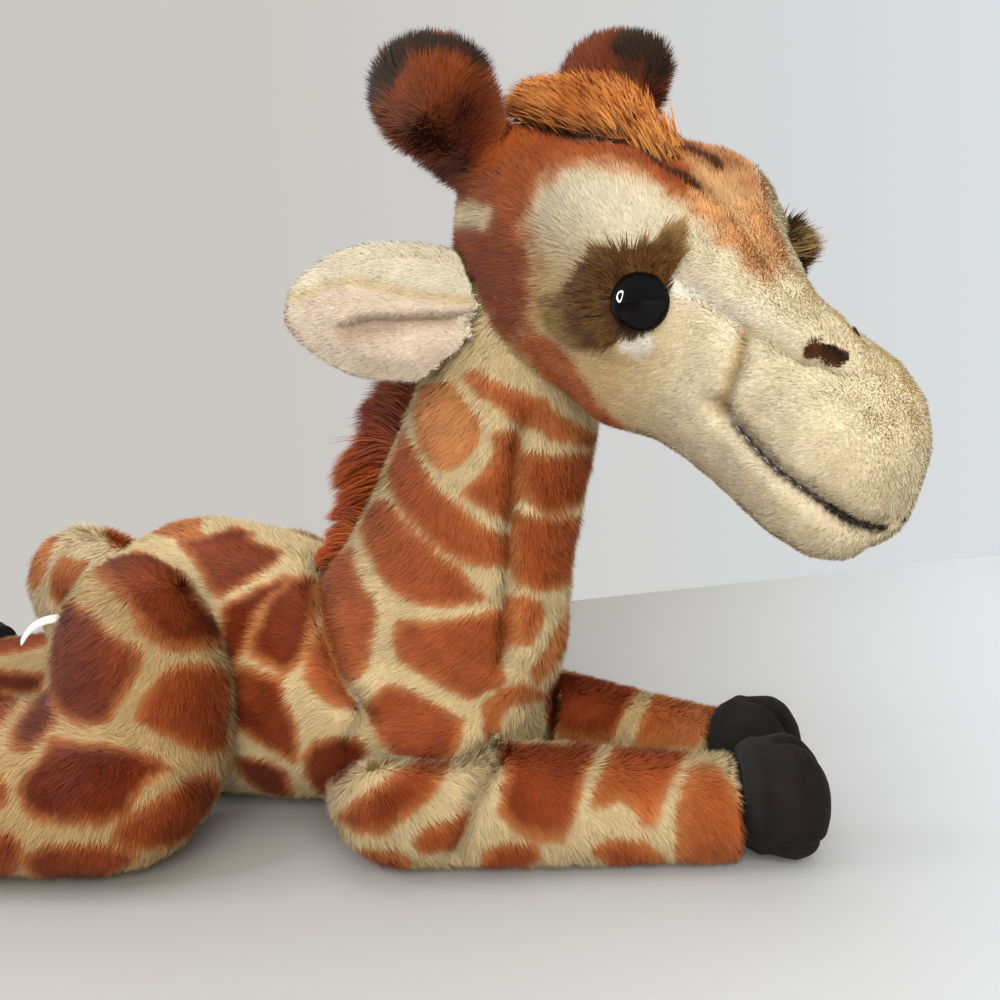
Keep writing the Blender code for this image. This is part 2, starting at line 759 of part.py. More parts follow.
def add_head(neck_body, finishes):
    head_body = body("head_pivot", HEAD_PIVOT, neck_body)
    head = piece("head", head_mesh("head"), head_body, finishes["face"])
    combine(head, cutter("cut_neck_column", neck_mesh("cut_neck_column", PIVOT_GAP), head_body))
    for side, name in ((-1, "right"), (1, "left")):
        add_eye(head, head_body, side, name, finishes)
        add_horn(head_body, side, name, finishes)
        add_nostril(head_body, side, name, finishes)
        add_ear(head_body, side, name, finishes)
    add_forelock(head_body, finishes)
    points = [head_point(s, math.pi / 2 * t, -1) for s, t in MOUTH_SHARES]
    normals = [head_normal(s, math.pi / 2 * t, -1) for s, t in MOUTH_SHARES[:-1]] + [Vector((1, 0, 0))]
    points = [point + normal * MOUTH_THREAD_DIAMETER for point, normal in zip(points, normals)]
    points += [Vector((point.x, -point.y, point.z)) for point in reversed(points[:-1])]
    points = [HEAD_PLACE @ point for point in points]
    thread = tube("mouth_thread", points, MOUTH_THREAD_DIAMETER / 2, THREAD_RESOLUTION)
    mouth = piece("mouth_thread", thread, head_body, finishes["thread"])
    combine(mouth, cutter("cut_mouth_head", head_mesh("cut_mouth_head", SEAM_GAP), head_body))
    return head_body


def add_eye(head, head_body, side, name, finishes):
    """Safety eye: a domed disc on a shank, held by a washer inside the cover."""
    normal = head_normal(EYE_SHARE, EYE_TURN, side)
    seat = head_point(EYE_SHARE, EYE_TURN, side)
    local = frame_on(seat, Vector((1, 0, 0)), normal)
    place = HEAD_PLACE @ local
    half = Vector((EYE_DIAMETER, EYE_DIAMETER, EYE_THICKNESS)) / 2
    up = EYE_THICKNESS / 2 - EYE_SINK
    raised = place @ Matrix.Translation((0, 0, up))
    dome = ellipsoid_mesh(f"eye_{name}", half, raised, EYE_SIDES, EYE_RINGS)
    eye = piece(f"eye_{name}", dome, head_body, finishes["eye"])
    stem_place = place @ Matrix.Translation((0, 0, up - SHANK_LENGTH / 2))
    stem = round_mesh(f"add_shank_{name}", SHANK_DIAMETER / 2, SHANK_LENGTH, stem_place, TRIM_SIDES)
    combine(eye, cutter(f"add_shank_{name}", stem, head_body), "UNION")
    room_half = half + Vector((SEAM_GAP,) * 3)
    room = ellipsoid_mesh(f"cut_eye_{name}", room_half, raised, EYE_SIDES, EYE_RINGS)
    combine(head, cutter(f"cut_eye_{name}", room, head_body))
    room = SHANK_DIAMETER / 2 + SEAM_GAP
    depth = SHANK_LENGTH + 2 * SEAM_GAP
    bore = round_mesh(f"cut_shank_{name}", room, depth, stem_place, TRIM_SIDES)
    combine(head, cutter(f"cut_shank_{name}", bore, head_body))
    washer_place = place @ Matrix.Translation((0, 0, -WASHER_DEPTH))
    hole = SHANK_DIAMETER / 2 + SEAM_GAP
    washer = round_mesh(
        f"eye_washer_{name}", WASHER_DIAMETER / 2, WASHER_THICKNESS, washer_place, EYE_SIDES, hole
    )
    piece(f"eye_washer_{name}", washer, head_body, finishes["washer"])
    room = WASHER_DIAMETER / 2 + SEAM_GAP
    depth = WASHER_THICKNESS + 2 * SEAM_GAP
    pocket = round_mesh(f"cut_washer_{name}", room, depth, washer_place, EYE_SIDES)
    combine(head, cutter(f"cut_washer_{name}", pocket, head_body))
    add_eye_patch(head_body, side, name, finishes)
    add_lash(head_body, side, name, finishes)


def surface_slab(name, outline, thickness):
    """Thin piece laid on the head: outline points are (share, turn, side), with a fan to their middle."""
    mesh = bpy.data.meshes.new(name)
    bm = bmesh.new()
    side = outline[0][2]
    middle = [sum(point[i] for point in outline) / len(outline) for i in range(2)]
    layers = []
    for lift in (-thickness, thickness):
        core = bm.verts.new(head_point(middle[0], middle[1], side, lift))
        inner = []
        for share, turn, _ in outline:
            blend = [(share + middle[0]) / 2, (turn + middle[1]) / 2]
            inner.append(bm.verts.new(head_point(blend[0], blend[1], side, lift)))
        rim = [bm.verts.new(head_point(share, turn, side, lift)) for share, turn, _ in outline]
        layers.append((core, inner, rim))
    count = len(outline)
    for core, inner, rim in layers:
        for k in range(count):
            n = (k + 1) % count
            bm.faces.new((core, inner[k], inner[n]))
            bm.faces.new((inner[k], rim[k], rim[n], inner[n]))
    low, high = layers[0][2], layers[1][2]
    for k in range(count):
        n = (k + 1) % count
        bm.faces.new((low[k], low[n], high[n], high[k]))
    bmesh.ops.transform(bm, matrix=HEAD_PLACE, verts=bm.verts)
    return finished(bm, mesh)


def add_eye_patch(head_body, side, name, finishes):
    """Brown fur patch sewn round the eye, with the eye's own hole through it."""
    share_unit = EYE_DIAMETER / HEAD_LENGTH
    turn_unit = 2 * EYE_DIAMETER / HEAD_HEIGHT
    outline = [(EYE_SHARE + a * share_unit, EYE_TURN + b * turn_unit, side) for a, b in EYE_PATCH_SHARES]
    slab = surface_slab(f"eye_patch_{name}", outline, PATCH_THICKNESS + SEAM_GAP)
    patch = piece(f"eye_patch_{name}", slab, head_body, finishes["brown_fur"])
    combine(patch, cutter(f"cut_patch_head_{name}", head_mesh("cut_patch_head", SEAM_GAP), head_body))
    normal = head_normal(EYE_SHARE, EYE_TURN, side)
    place = HEAD_PLACE @ frame_on(head_point(EYE_SHARE, EYE_TURN, side), Vector((1, 0, 0)), normal)
    depth = EYE_DIAMETER + EYE_THICKNESS
    hole = round_mesh(f"cut_patch_eye_{name}", EYE_DIAMETER / 2 + SEAM_GAP, depth, place, EYE_SIDES)
    combine(patch, cutter(f"cut_patch_eye_{name}", hole, head_body))


def add_lash(head_body, side, name, finishes):
    """Stiff tuft of lash fur that stands out above the eye."""
    turn = EYE_TURN + LASH_LIFT_SHARE * EYE_DIAMETER / HEAD_HEIGHT
    foot = head_point(EYE_SHARE, turn, side)
    normal = head_normal(EYE_SHARE, turn, side)
    place = HEAD_PLACE @ frame_on(foot, Vector((1, 0, 0)), normal)
    place = place @ Matrix.Rotation(-math.pi / 2, 4, "Y")
    size = (LASH_LENGTH, LASH_WIDTH, LASH_THICKNESS)
    mesh = straight_form(f"eyelash_{name}", LASH_RING_SHARES, (0, 0), size, LASH_RINGS, TRIM_SIDES, place)
    lash = piece(f"eyelash_{name}", mesh, head_body, finishes["brown_fur"])
    combine(lash, cutter(f"cut_lash_head_{name}", head_mesh("cut_lash_head", LASH_FOOT_GAP), head_body))


def add_nostril(head_body, side, name, finishes):
    """Brown patch of the nostril, a slim oval along the muzzle."""
    share, turn = NOSTRIL_SHARE, NOSTRIL_TURN
    points = []
    for k in range(TRIM_SIDES):
        angle = math.tau * k / TRIM_SIDES
        reach_share = NOSTRIL_LENGTH / 2 * math.cos(angle) / HEAD_LENGTH
        reach_turn = NOSTRIL_WIDTH / 2 * math.sin(angle) / (HEAD_HEIGHT / 3)
        points.append((share + reach_share, turn + reach_turn, side))
    slab = surface_slab(f"nostril_{name}", points, PATCH_THICKNESS + SEAM_GAP)
    nostril = piece(f"nostril_{name}", slab, head_body, finishes["brown_fur"])
    combine(nostril, cutter(f"cut_nostril_{name}", head_mesh("cut_nostril", SEAM_GAP), head_body))


def add_horn(head_body, side, name, finishes):
    """Club-shaped horn that splays out and rakes back from the crown."""
    foot = head_point(HORN_FOOT_SHARE, HORN_FOOT_TURN, side, -HORN_SINK)
    along = Vector((-math.sin(HORN_RAKE), side * math.sin(HORN_SPLAY), math.cos(HORN_RAKE))).normalized()
    local = frame_on(foot, Vector((0, 1, 0)), along)
    place = HEAD_PLACE @ local @ Matrix.Rotation(-math.pi / 2, 4, "Y")
    size = (HORN_LENGTH, HORN_THICKNESS, HORN_RADIUS)
    mesh = straight_form(
        f"horn_{name}", HORN_RING_SHARES, HORN_CAP_SHARES, size, HORN_RINGS, LIMB_SIDES, place
    )
    horn = piece(f"horn_{name}", mesh, head_body, finishes["horn"])
    combine(horn, cutter(f"cut_horn_head_{name}", head_mesh("cut_horn_head", SEAM_GAP), head_body))


def add_forelock(head_body, finishes):
    """Tuft of long fur between the horns."""
    top = head_point(FORELOCK_SHARE, math.pi / 2, 1)
    place = HEAD_PLACE @ frame_on(top, Vector((1, 0, 0)), head_normal(FORELOCK_SHARE, math.pi / 2, 1))
    half = Vector((FORELOCK_LENGTH / 2, FORELOCK_WIDTH / 2, FORELOCK_HEIGHT))
    mesh = ellipsoid_mesh("forelock", half, place, LIMB_SIDES, BALL_RINGS)
    tuft = piece("forelock", mesh, head_body, finishes["mane"])
    combine(tuft, cutter("cut_forelock_head", head_mesh("cut_forelock_head", SEAM_GAP), head_body))
    for side, name in ((-1, "right"), (1, "left")):
        horn = bpy.data.objects[f"horn_{name}"].data.copy()
        horn.transform(Matrix.Translation(Vector(head_body["pivot"])))
        combine(tuft, cutter(f"cut_forelock_horn_{name}", grown(horn, SEAM_GAP), head_body))


def grown(mesh, gap):
    """The mesh with every point moved out along its normal."""
    bm = bmesh.new()
    bm.from_mesh(mesh)
    bm.normal_update()
    moves = [(vert, vert.co + vert.normal * gap) for vert in bm.verts]
    for vert, spot in moves:
        vert.co = spot
    bm.to_mesh(mesh)
    bm.free()
    return mesh


def add_ear(head_body, side, name, finishes):
    """Leaf-shaped ear, sewn along its foot, with a separate lining on its face."""
    foot = head_point(EAR_FOOT_SHARE, EAR_FOOT_TURN, side)
    along = Vector((-math.sin(EAR_SWEEP), side * math.cos(EAR_SWEEP), -math.sin(EAR_DROOP))).normalized()
    seam = Vector((math.cos(EAR_TWIST), 0, math.sin(EAR_TWIST)))
    seam = (seam - along * seam.dot(along)).normalized()
    face = along.cross(seam)
    front = math.copysign(1, face.x)
    local = Matrix((along, seam, face)).transposed().to_4x4()
    place = HEAD_PLACE @ Matrix.Translation(foot - along * EAR_SINK) @ local
    pivot = HEAD_PLACE @ foot
    axis = HEAD_PLACE.to_3x3() @ seam
    ear_body = body(f"ear_{name}_pivot", pivot, head_body)
    size = (EAR_LENGTH + EAR_SINK, EAR_THICKNESS, EAR_WIDTH)
    leaf = ear_form(f"ear_{name}", size, place)
    ear = piece(f"ear_{name}", leaf, ear_body, finishes["ear"])
    lining_start = EAR_LENGTH * (1 - EAR_LINING_SHARE) / 2
    lining_place = place @ Matrix.Translation((lining_start, 0, front * EAR_THICKNESS / 2))
    lining_size = Vector((EAR_LENGTH, EAR_THICKNESS, EAR_WIDTH)) * EAR_LINING_SHARE
    sheet = ear_form(f"ear_lining_{name}", lining_size, lining_place)
    lining = piece(f"ear_lining_{name}", sheet, ear_body, finishes["lining"])
    outer = EAR_THICKNESS / 2 + EAR_LINING_THICKNESS
    levels = sorted((front * outer, front * CUT_OVERRUN))
    low, high = (-CUT_OVERRUN, -CUT_OVERRUN, levels[0]), (CUT_OVERRUN, CUT_OVERRUN, levels[1])
    top = box_mesh(f"cut_lining_top_{name}", low, high, place)
    combine(lining, cutter(f"cut_lining_top_{name}", top, ear_body))
    inner = ear_form(f"cut_lining_{name}", size, place, SEAM_GAP)
    combine(lining, cutter(f"cut_lining_{name}", inner, ear_body))
    for form, mesh in (("head", head_mesh("skull", SEAM_GAP)), ("neck", neck_mesh("column", PIVOT_GAP))):
        for label, angle in (("back", -EAR_FLOP), ("rest", 0), ("front", EAR_FLOP)):
            shape = turned(mesh, f"cut_ear_{form}_{label}", pivot, axis, angle)
            tool = cutter(f"cut_ear_{form}_{label}_{name}", shape, ear_body)
            combine(ear, tool)
            combine(lining, tool)


def ear_form(name, size, place, grow=0.0):
    return straight_form(name, EAR_RING_SHARES, EAR_CAP_SHARES, size, EAR_RINGS, LIMB_SIDES, place, grow)


def add_hoof(name, place, size, carrier, finishes):
    """Cloven suede hoof: a rounded block with a cleft down the toe."""
    caps = (0, HOOF_CAP_SHARE)
    mesh = straight_form(
        name, HOOF_RING_SHARES, caps, size, HOOF_RINGS, LIMB_SIDES, place, 0, HOOF_SQUARENESS
    )
    hoof = piece(name, mesh, carrier, finishes["suede"])
    length, height, _ = size
    cleft = bpy.data.meshes.new(f"cut_cleft_{name}")
    bm = bmesh.new()
    corners = [(-CLEFT_DEPTH, 0), (CLEFT_OVERRUN, -CLEFT_WIDTH), (CLEFT_OVERRUN, CLEFT_WIDTH)]
    low = [bm.verts.new(place @ Vector((length + x, y, -height))) for x, y in corners]
    high = [bm.verts.new(place @ Vector((length + x, y, 2 * height))) for x, y in corners]
    bm.faces.new(low)
    bm.faces.new(high)
    for k in range(3):
        n = (k + 1) % 3
        bm.faces.new((low[k], low[n], high[n], high[k]))
    finished(bm, cleft)
    combine(hoof, cutter(f"cut_cleft_{name}", cleft, carrier))


def floor_mesh(name):
    reach = TORSO_LENGTH + SHANK_REACH
    return box_mesh(name, (-reach, -reach, -CUT_OVERRUN), (reach, reach, 0))


def add_foreleg(root, side, name, setback, finishes):
    pivot = Vector((FORELEG_PIVOT_X - setback, side * FORELEG_CENTRE_Y, FORELEG_ELBOW_HEIGHT / 2))
    leg_body = body(f"foreleg_{name}_pivot", pivot, root)
    elbow = FORELEG_ELBOW_HEIGHT / 2
    place = Matrix.Translation((pivot.x, pivot.y, -FLOOR_FLAT_DEPTH))
    place = place @ Matrix.Rotation(-side * FORELEG_TOE_IN, 4, "Z") @ Matrix.Translation((-elbow, 0, 0))
    length = FORELEG_LENGTH + elbow
    size = (length, FORELEG_ELBOW_HEIGHT, FORELEG_ELBOW_WIDTH)
    caps = (FORELEG_CAP_SHARE, 0)
    mesh = straight_form(f"foreleg_{name}", FORELEG_RING_SHARES, caps, size, LIMB_RINGS, LIMB_SIDES, place)
    leg = piece(f"foreleg_{name}", mesh, leg_body, finishes["plush"])
    middle = Matrix.Translation((pivot.x, side * (FORELEG_INNER_Y - CUT_OVERRUN / 2), pivot.z))
    disc = round_mesh(
        f"cut_foreleg_inner_{name}", FORELEG_SWEEP_RADIUS, CUT_OVERRUN, middle @ ON_Y, NECK_SIDES
    )
    combine(leg, cutter(f"cut_foreleg_inner_{name}", disc, leg_body))
    combine(leg, cutter(f"cut_foreleg_floor_{name}", floor_mesh(f"cut_foreleg_floor_{name}"), leg_body))
    hoof_place = place @ Matrix.Translation((length + SEAM_GAP, 0, HOOF_LIFT))
    size = (FORE_HOOF_LENGTH, FORE_HOOF_HEIGHT, FORE_HOOF_WIDTH)
    add_hoof(f"fore_hoof_{name}", hoof_place, size, leg_body, finishes)


def add_hindleg(root, side, name, setback, height, splay, finishes):
    pivot = Vector((HINDLEG_PIVOT_X - setback, side * THIGH_CENTRE_Y, HINDLEG_PIVOT_Z))
    leg_body = body(f"hindleg_{name}_pivot", pivot, root)
    half = Vector((THIGH_LENGTH, THIGH_WIDTH, height)) / 2
    centre = Matrix.Translation((pivot.x, pivot.y, height / 2 - FLOOR_FLAT_DEPTH))
    thigh = ellipsoid_mesh(f"hindleg_{name}", half, centre, TORSO_SIDES, TAIL_STEPS)
    leg = piece(f"hindleg_{name}", thigh, leg_body, finishes["plush"])
    place = Matrix.Translation((pivot.x, side * SHANK_CENTRE_Y, -FLOOR_FLAT_DEPTH))
    backward = Matrix.Rotation(math.pi - side * splay, 4, "Z")
    place = place @ backward @ Matrix.Translation((-SHANK_START, 0, 0))
    size = (SHANK_REACH, SHANK_HEIGHT, SHANK_HEIGHT)
    caps = (SHANK_CAP_SHARE, 0)
    lower = f"add_lower_leg_{name}"
    shank = straight_form(lower, SHANK_RING_SHARES, caps, size, LIMB_RINGS, LIMB_SIDES, place)
    combine(leg, cutter(lower, shank, leg_body), "UNION")
    reach = TORSO_LENGTH + SHANK_REACH
    inner_y = side * HINDLEG_INNER_Y
    low = (-reach, min(inner_y, inner_y - side * CUT_OVERRUN), -CUT_OVERRUN)
    high = (reach, max(inner_y, inner_y - side * CUT_OVERRUN), reach)
    combine(leg, cutter(f"cut_hindleg_inner_{name}", box_mesh("cut_hindleg_inner", low, high), leg_body))
    combine(leg, cutter(f"cut_hindleg_floor_{name}", floor_mesh(f"cut_hindleg_floor_{name}"), leg_body))
    hoof_place = place @ Matrix.Translation((SHANK_REACH + SEAM_GAP, 0, HOOF_LIFT))
    size = (HIND_HOOF_LENGTH, HIND_HOOF_HEIGHT, HIND_HOOF_WIDTH)
    add_hoof(f"hind_hoof_{name}", hoof_place, size, leg_body, finishes)


def add_tail(root, finishes):
    """Tail that leaves the rump, bends and hangs behind it, with a tuft at its end."""
    pivot = Vector((TAIL_PIVOT_X, 0, TAIL_PIVOT_Z))
    tail_body = body("tail_pivot", pivot, root)
    rows = [(i / (len(TAIL_SHARES) - 1), *row) for i, row in enumerate(TAIL_SHARES)]
    rings = []
    for i in range(CAP_RINGS):
        turn = math.pi / 2 * i / CAP_RINGS
        centre = pivot + Vector((TAIL_BALL_RADIUS * math.cos(turn), 0, 0))
        radius = TAIL_BALL_RADIUS * math.sin(turn)
        rings.append((centre, radius, radius))
    for i in range(TAIL_STEPS + 1):
        back, rise, radius_share = sample(rows, i / TAIL_STEPS)
        centre = pivot + Vector((-TAIL_REACH * back, 0, TAIL_DROP * rise))
        rings.append((centre, TAIL_BALL_RADIUS * radius_share, TAIL_BALL_RADIUS * radius_share))
    tail = piece("tail", loft("tail", rings, TAIL_STEPS, Vector((0, 1, 0))), tail_body, finishes["plush"])
    end = rings[-1][0]
    before = rings[-2][0]
    along = (end - before).normalized()
    place = frame_on(end + along * SEAM_GAP, Vector((0, 1, 0)), along)
    place = place @ Matrix.Rotation(-math.pi / 2, 4, "Y")
    size = (TUFT_LENGTH, 2 * TUFT_RADIUS, 2 * TUFT_RADIUS)
    caps = (0, TUFT_CAP_SHARE)
    mesh = straight_form("tail_tuft", TUFT_RING_SHARES, caps, size, HOOF_RINGS, TRIM_SIDES, place)
    tuft = piece("tail_tuft", mesh, tail_body, finishes["mane"])
    combine(tuft, cutter("cut_tuft_torso", torso_mesh("cut_tuft_torso", PIVOT_GAP), tail_body))


def build():
    remove_everything()
    finishes = {
        "plush": material("giraffe_plush", 0.42, 0.14, 0.04, 0.95),
        "face": material("cream_plush", 0.78, 0.66, 0.42, 0.95),
        "ear": material("ear_plush", 0.84, 0.76, 0.60, 0.95),
        "lining": material("ear_lining_plush", 0.86, 0.78, 0.66, 0.95),
        "horn": material("horn_plush", 0.28, 0.08, 0.03, 0.95),
        "mane": material("long_pile_plush", 0.50, 0.16, 0.03, 0.90),
        "brown_fur": material("dark_brown_fur", 0.10, 0.06, 0.02, 0.95),
        "suede": material("hoof_suede", 0.035, 0.02, 0.015, 0.85),
        "eye": material("eye_plastic", 0.004, 0.004, 0.004, 0.06),
        "washer": material("washer_plastic", 0.70, 0.70, 0.68, 0.45),
        "thread": material("dark_thread", 0.04, 0.02, 0.015, 0.80),
        "satin": material("label_satin", 0.85, 0.85, 0.84, 0.40),
        "bag": material("pellet_bag_cotton", 0.80, 0.78, 0.72, 0.90),
    }
    root = body("giraffe", (0, 0, 0))
    add_torso(root, finishes)
    neck_body = add_neck(root, finishes)
    add_head(neck_body, finishes)
    add_foreleg(root, -1, "right", 0, finishes)
    add_foreleg(root, 1, "left", FAR_FORELEG_SETBACK, finishes)
    add_hindleg(root, -1, "right", 0, THIGH_HEIGHT, RIGHT_SHANK_SPLAY, finishes)
    add_hindleg(root, 1, "left", FAR_HINDLEG_SETBACK, FAR_THIGH_HEIGHT, LEFT_SHANK_SPLAY, finishes)
    add_tail(root, finishes)
    stand_on_origin(root)


def stand_on_origin(root):
    """Puts the middle of the toy's footprint box at the origin."""
    bpy.context.view_layer.update()
    graph = bpy.context.evaluated_depsgraph_get()
    corners = []
    for item in bpy.data.objects:
        if item.type == "MESH" and not item.hide_render:
            ready = item.evaluated_get(graph)
            corners += [ready.matrix_world @ vert.co for vert in ready.data.vertices]
    low = [min(corner[i] for corner in corners) for i in range(3)]
    high = [max(corner[i] for corner in corners) for i in range(3)]
    root.location = (-(low[0] + high[0]) / 2, -(low[1] + high[1]) / 2, -low[2])
    bpy.context.view_layer.update()


build()
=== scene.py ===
"""Plush giraffe lying on its belly: skins, pile, eyes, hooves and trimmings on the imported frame."""

import json
import math

import bpy
import bmesh
import numpy as np
from mathutils import Matrix, Vector
from mathutils.bvhtree import BVHTree

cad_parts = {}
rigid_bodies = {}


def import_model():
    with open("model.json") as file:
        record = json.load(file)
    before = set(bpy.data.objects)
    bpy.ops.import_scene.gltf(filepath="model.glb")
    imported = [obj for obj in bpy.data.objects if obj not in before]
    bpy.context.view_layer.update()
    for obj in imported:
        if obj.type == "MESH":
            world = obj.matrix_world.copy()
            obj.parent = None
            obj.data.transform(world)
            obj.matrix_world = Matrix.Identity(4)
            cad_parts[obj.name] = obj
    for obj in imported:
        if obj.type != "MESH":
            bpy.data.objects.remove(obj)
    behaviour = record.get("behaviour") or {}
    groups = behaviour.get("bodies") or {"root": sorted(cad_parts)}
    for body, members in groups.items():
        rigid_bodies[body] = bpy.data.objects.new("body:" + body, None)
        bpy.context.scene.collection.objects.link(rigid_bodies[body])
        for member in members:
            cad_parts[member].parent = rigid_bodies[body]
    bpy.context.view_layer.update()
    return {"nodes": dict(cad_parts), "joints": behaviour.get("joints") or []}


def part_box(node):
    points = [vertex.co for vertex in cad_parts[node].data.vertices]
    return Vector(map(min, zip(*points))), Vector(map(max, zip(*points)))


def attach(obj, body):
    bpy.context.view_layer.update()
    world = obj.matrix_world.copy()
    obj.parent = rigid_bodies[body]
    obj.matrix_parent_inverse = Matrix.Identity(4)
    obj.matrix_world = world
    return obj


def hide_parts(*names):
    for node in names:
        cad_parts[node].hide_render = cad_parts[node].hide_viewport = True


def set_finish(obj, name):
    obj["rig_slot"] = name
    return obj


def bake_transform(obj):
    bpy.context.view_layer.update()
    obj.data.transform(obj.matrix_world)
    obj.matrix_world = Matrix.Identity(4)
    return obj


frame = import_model()
NODES = frame["nodes"]
JOINTS = {joint["name"]: joint for joint in frame["joints"]}

# Lengths are in metres. The part was drawn about its own origin, then centred by this shift.
NECK_PIVOT_DRAWN = Vector((0.024, 0.0, 0.072))
SHIFT = Vector(JOINTS["neck_lean"]["pos_m"]) - NECK_PIVOT_DRAWN
MIDDLE_Y = SHIFT.y

# The photograph's camera.
PHOTO_SIDE = 1000
CAMERA_PLACE = Vector((0.1818899, -0.3646244, 0.158)) + SHIFT
CAMERA_TURN = math.radians(20)
CAMERA_DOWN = math.radians(6)
CAMERA_ROLL = math.radians(3)
LENS = 38.0
SENSOR = 36.0

# The head's own axes: x runs along the muzzle, y to its left, z to its crown.
HEAD_CENTRE = Vector((0.08605, -0.0030, 0.2000)) + SHIFT
HEAD_TURN = (
    Matrix.Rotation(math.radians(-25), 3, "Z")
    @ Matrix.Rotation(math.radians(35), 3, "Y")
    @ Matrix.Rotation(math.radians(11), 3, "X")
)
HEAD_AXES = np.array(HEAD_TURN)


def linear(hex_colour):
    """An sRGB hex colour as linear red, green and blue."""
    parts = [int(hex_colour[i : i + 2], 16) / 255 for i in (1, 3, 5)]
    return np.array([v / 12.92 if v <= 0.04045 else ((v + 0.055) / 1.055) ** 2.4 for v in parts])


def traced(text):
    """Pixels of the photograph, written as pairs of across,down."""
    return tuple(tuple(int(part) for part in pair.split(",")) for pair in text.split())


def add_object(name, data):
    piece = bpy.data.objects.new(name, data)
    bpy.context.scene.collection.objects.link(piece)
    return piece


# Camera
def place_camera():
    sine, cosine = math.sin, math.cos
    back = Vector((
        sine(CAMERA_TURN) * cosine(CAMERA_DOWN),
        -cosine(CAMERA_TURN) * cosine(CAMERA_DOWN),
        sine(CAMERA_DOWN),
    ))
    level = (-back).cross(Vector((0, 0, 1))).normalized()
    upright = level.cross(-back)
    right = cosine(CAMERA_ROLL) * level - sine(CAMERA_ROLL) * upright
    up = sine(CAMERA_ROLL) * level + cosine(CAMERA_ROLL) * upright
    camera = add_object("camera", bpy.data.cameras.new("camera"))
    camera.data.lens = LENS
    camera.data.sensor_width = SENSOR
    camera.data.clip_start = 0.01
    turn = Matrix((right, up, back)).transposed().to_4x4()
    turn.translation = CAMERA_PLACE
    camera.matrix_world = turn
    bpy.context.scene.camera = camera
    return right, up, back


RIGHT, UP, BACK = place_camera()
FOCAL_PIXELS = PHOTO_SIDE * LENS / SENSOR


def sight_line(pixel):
    """The direction from the camera through a pixel of the photograph."""
    across = (pixel[0] - PHOTO_SIDE / 2) / FOCAL_PIXELS
    down = (pixel[1] - PHOTO_SIDE / 2) / FOCAL_PIXELS
    return (RIGHT * across - UP * down - BACK).normalized()


def pixels_of(points):
    """Where points show in the photograph, and how far away they are."""
    away = points - np.array(CAMERA_PLACE)
    depth = -(away @ np.array(BACK))
    across = away @ np.array(RIGHT) / depth
    rise = away @ np.array(UP) / depth
    half = PHOTO_SIDE / 2
    return np.stack([half + FOCAL_PIXELS * across, half - FOCAL_PIXELS * rise], 1), depth


def in_head(points):
    """Points in the head's own axes."""
    return (np.asarray(points) - np.array(HEAD_CENTRE)) @ HEAD_AXES


def from_head(points):
    return np.asarray(points) @ HEAD_AXES.T + np.array(HEAD_CENTRE)


# Noise and steps
def cloud(points, scale, seed=0):
    """Smooth noise from -1 to 1, with lumps about scale across."""
    places = points / scale + seed * 17.31 + 1000.0
    cell = np.floor(places).astype(np.int64)
    part = places - cell
    part = part * part * (3 - 2 * part)
    total = np.zeros(len(points))
    for corner in range(8):
        step = np.array([(corner >> k) & 1 for k in range(3)])
        c = cell + step
        mixed = (c[:, 0] * 73856093) ^ (c[:, 1] * 19349663) ^ (c[:, 2] * 83492791)
        mixed = (mixed * 2654435761) & 0xFFFFFFFF
        mixed = ((mixed ^ (mixed >> 15)) * 2246822519) & 0xFFFFFFFF
        value = ((mixed >> 8) & 0xFFFF) / 32767.5 - 1
        total += value * np.prod(np.where(step, part, 1 - part), axis=1)
    return total


def ease(low, high, values):
    t = np.clip((values - low) / (high - low), 0, 1)
    return t * t * (3 - 2 * t)


def hill(away, reach):
    """1 in the middle, falling away smoothly over a reach."""
    return np.exp(-((away / reach) ** 2))


def unit(vectors):
    return vectors / np.maximum(np.linalg.norm(vectors, axis=-1, keepdims=True), 1e-12)


# Mesh helpers
def deselect():
    if bpy.context.mode != "OBJECT":
        bpy.ops.object.mode_set(mode="OBJECT")
    bpy.ops.object.select_all(action="DESELECT")


def pick(*pieces):
    deselect()
    for piece in pieces:
        piece.select_set(True)
    bpy.context.view_layer.objects.active = pieces[-1]


def apply_modifier(piece, kind, **settings):
    pick(piece)
    modifier = piece.modifiers.new(kind.lower(), kind)
    for key, value in settings.items():
        setattr(modifier, key, value)
    bpy.ops.object.modifier_apply(modifier=modifier.name)


def new_piece(name, vertices, faces):
    mesh = bpy.data.meshes.new(name)
    mesh.from_pydata(vertices, [], faces)
    return add_object(name, mesh)


def mesh_tree(piece):
    mesh = piece.data
    return BVHTree.FromPolygons([v.co[:] for v in mesh.vertices], [p.vertices[:] for p in mesh.polygons])


def clothe(piece, material):
    piece.data.materials.clear()
    piece.data.materials.append(material)


def paint(mesh, colours):
    """Carries colours on the points of a mesh, for the pile and the cloth under it."""
    layer = mesh.color_attributes.new("coat", "FLOAT_COLOR", "POINT")
    values = np.ones((len(mesh.vertices), 4), np.float32)
    values[:, :3] = colours
    layer.data.foreach_set("color", values.ravel())


def merged_copy(name, nodes, hollows=()):
    """One closed mesh from CAD nodes, with the walls of hidden hollows taken out."""
    work = bmesh.new()
    for node in nodes:
        work.from_mesh(NODES[node].data)
    bmesh.ops.remove_doubles(work, verts=work.verts, dist=2e-6)
    for low, high in hollows:
        walls = [
            face for face in work.faces
            if all(low[k] <= corner.co[k] <= high[k] for corner in face.verts for k in range(3))
        ]
        bmesh.ops.delete(work, geom=walls, context="FACES")
    rims = [edge for edge in work.edges if edge.is_boundary]
    bmesh.ops.holes_fill(work, edges=rims, sides=0)
    bmesh.ops.triangulate(work, faces=work.faces)
    bmesh.ops.recalc_face_normals(work, faces=work.faces)
    mesh = bpy.data.meshes.new(name)
    work.to_mesh(mesh)
    work.free()
    return add_object(name, mesh)


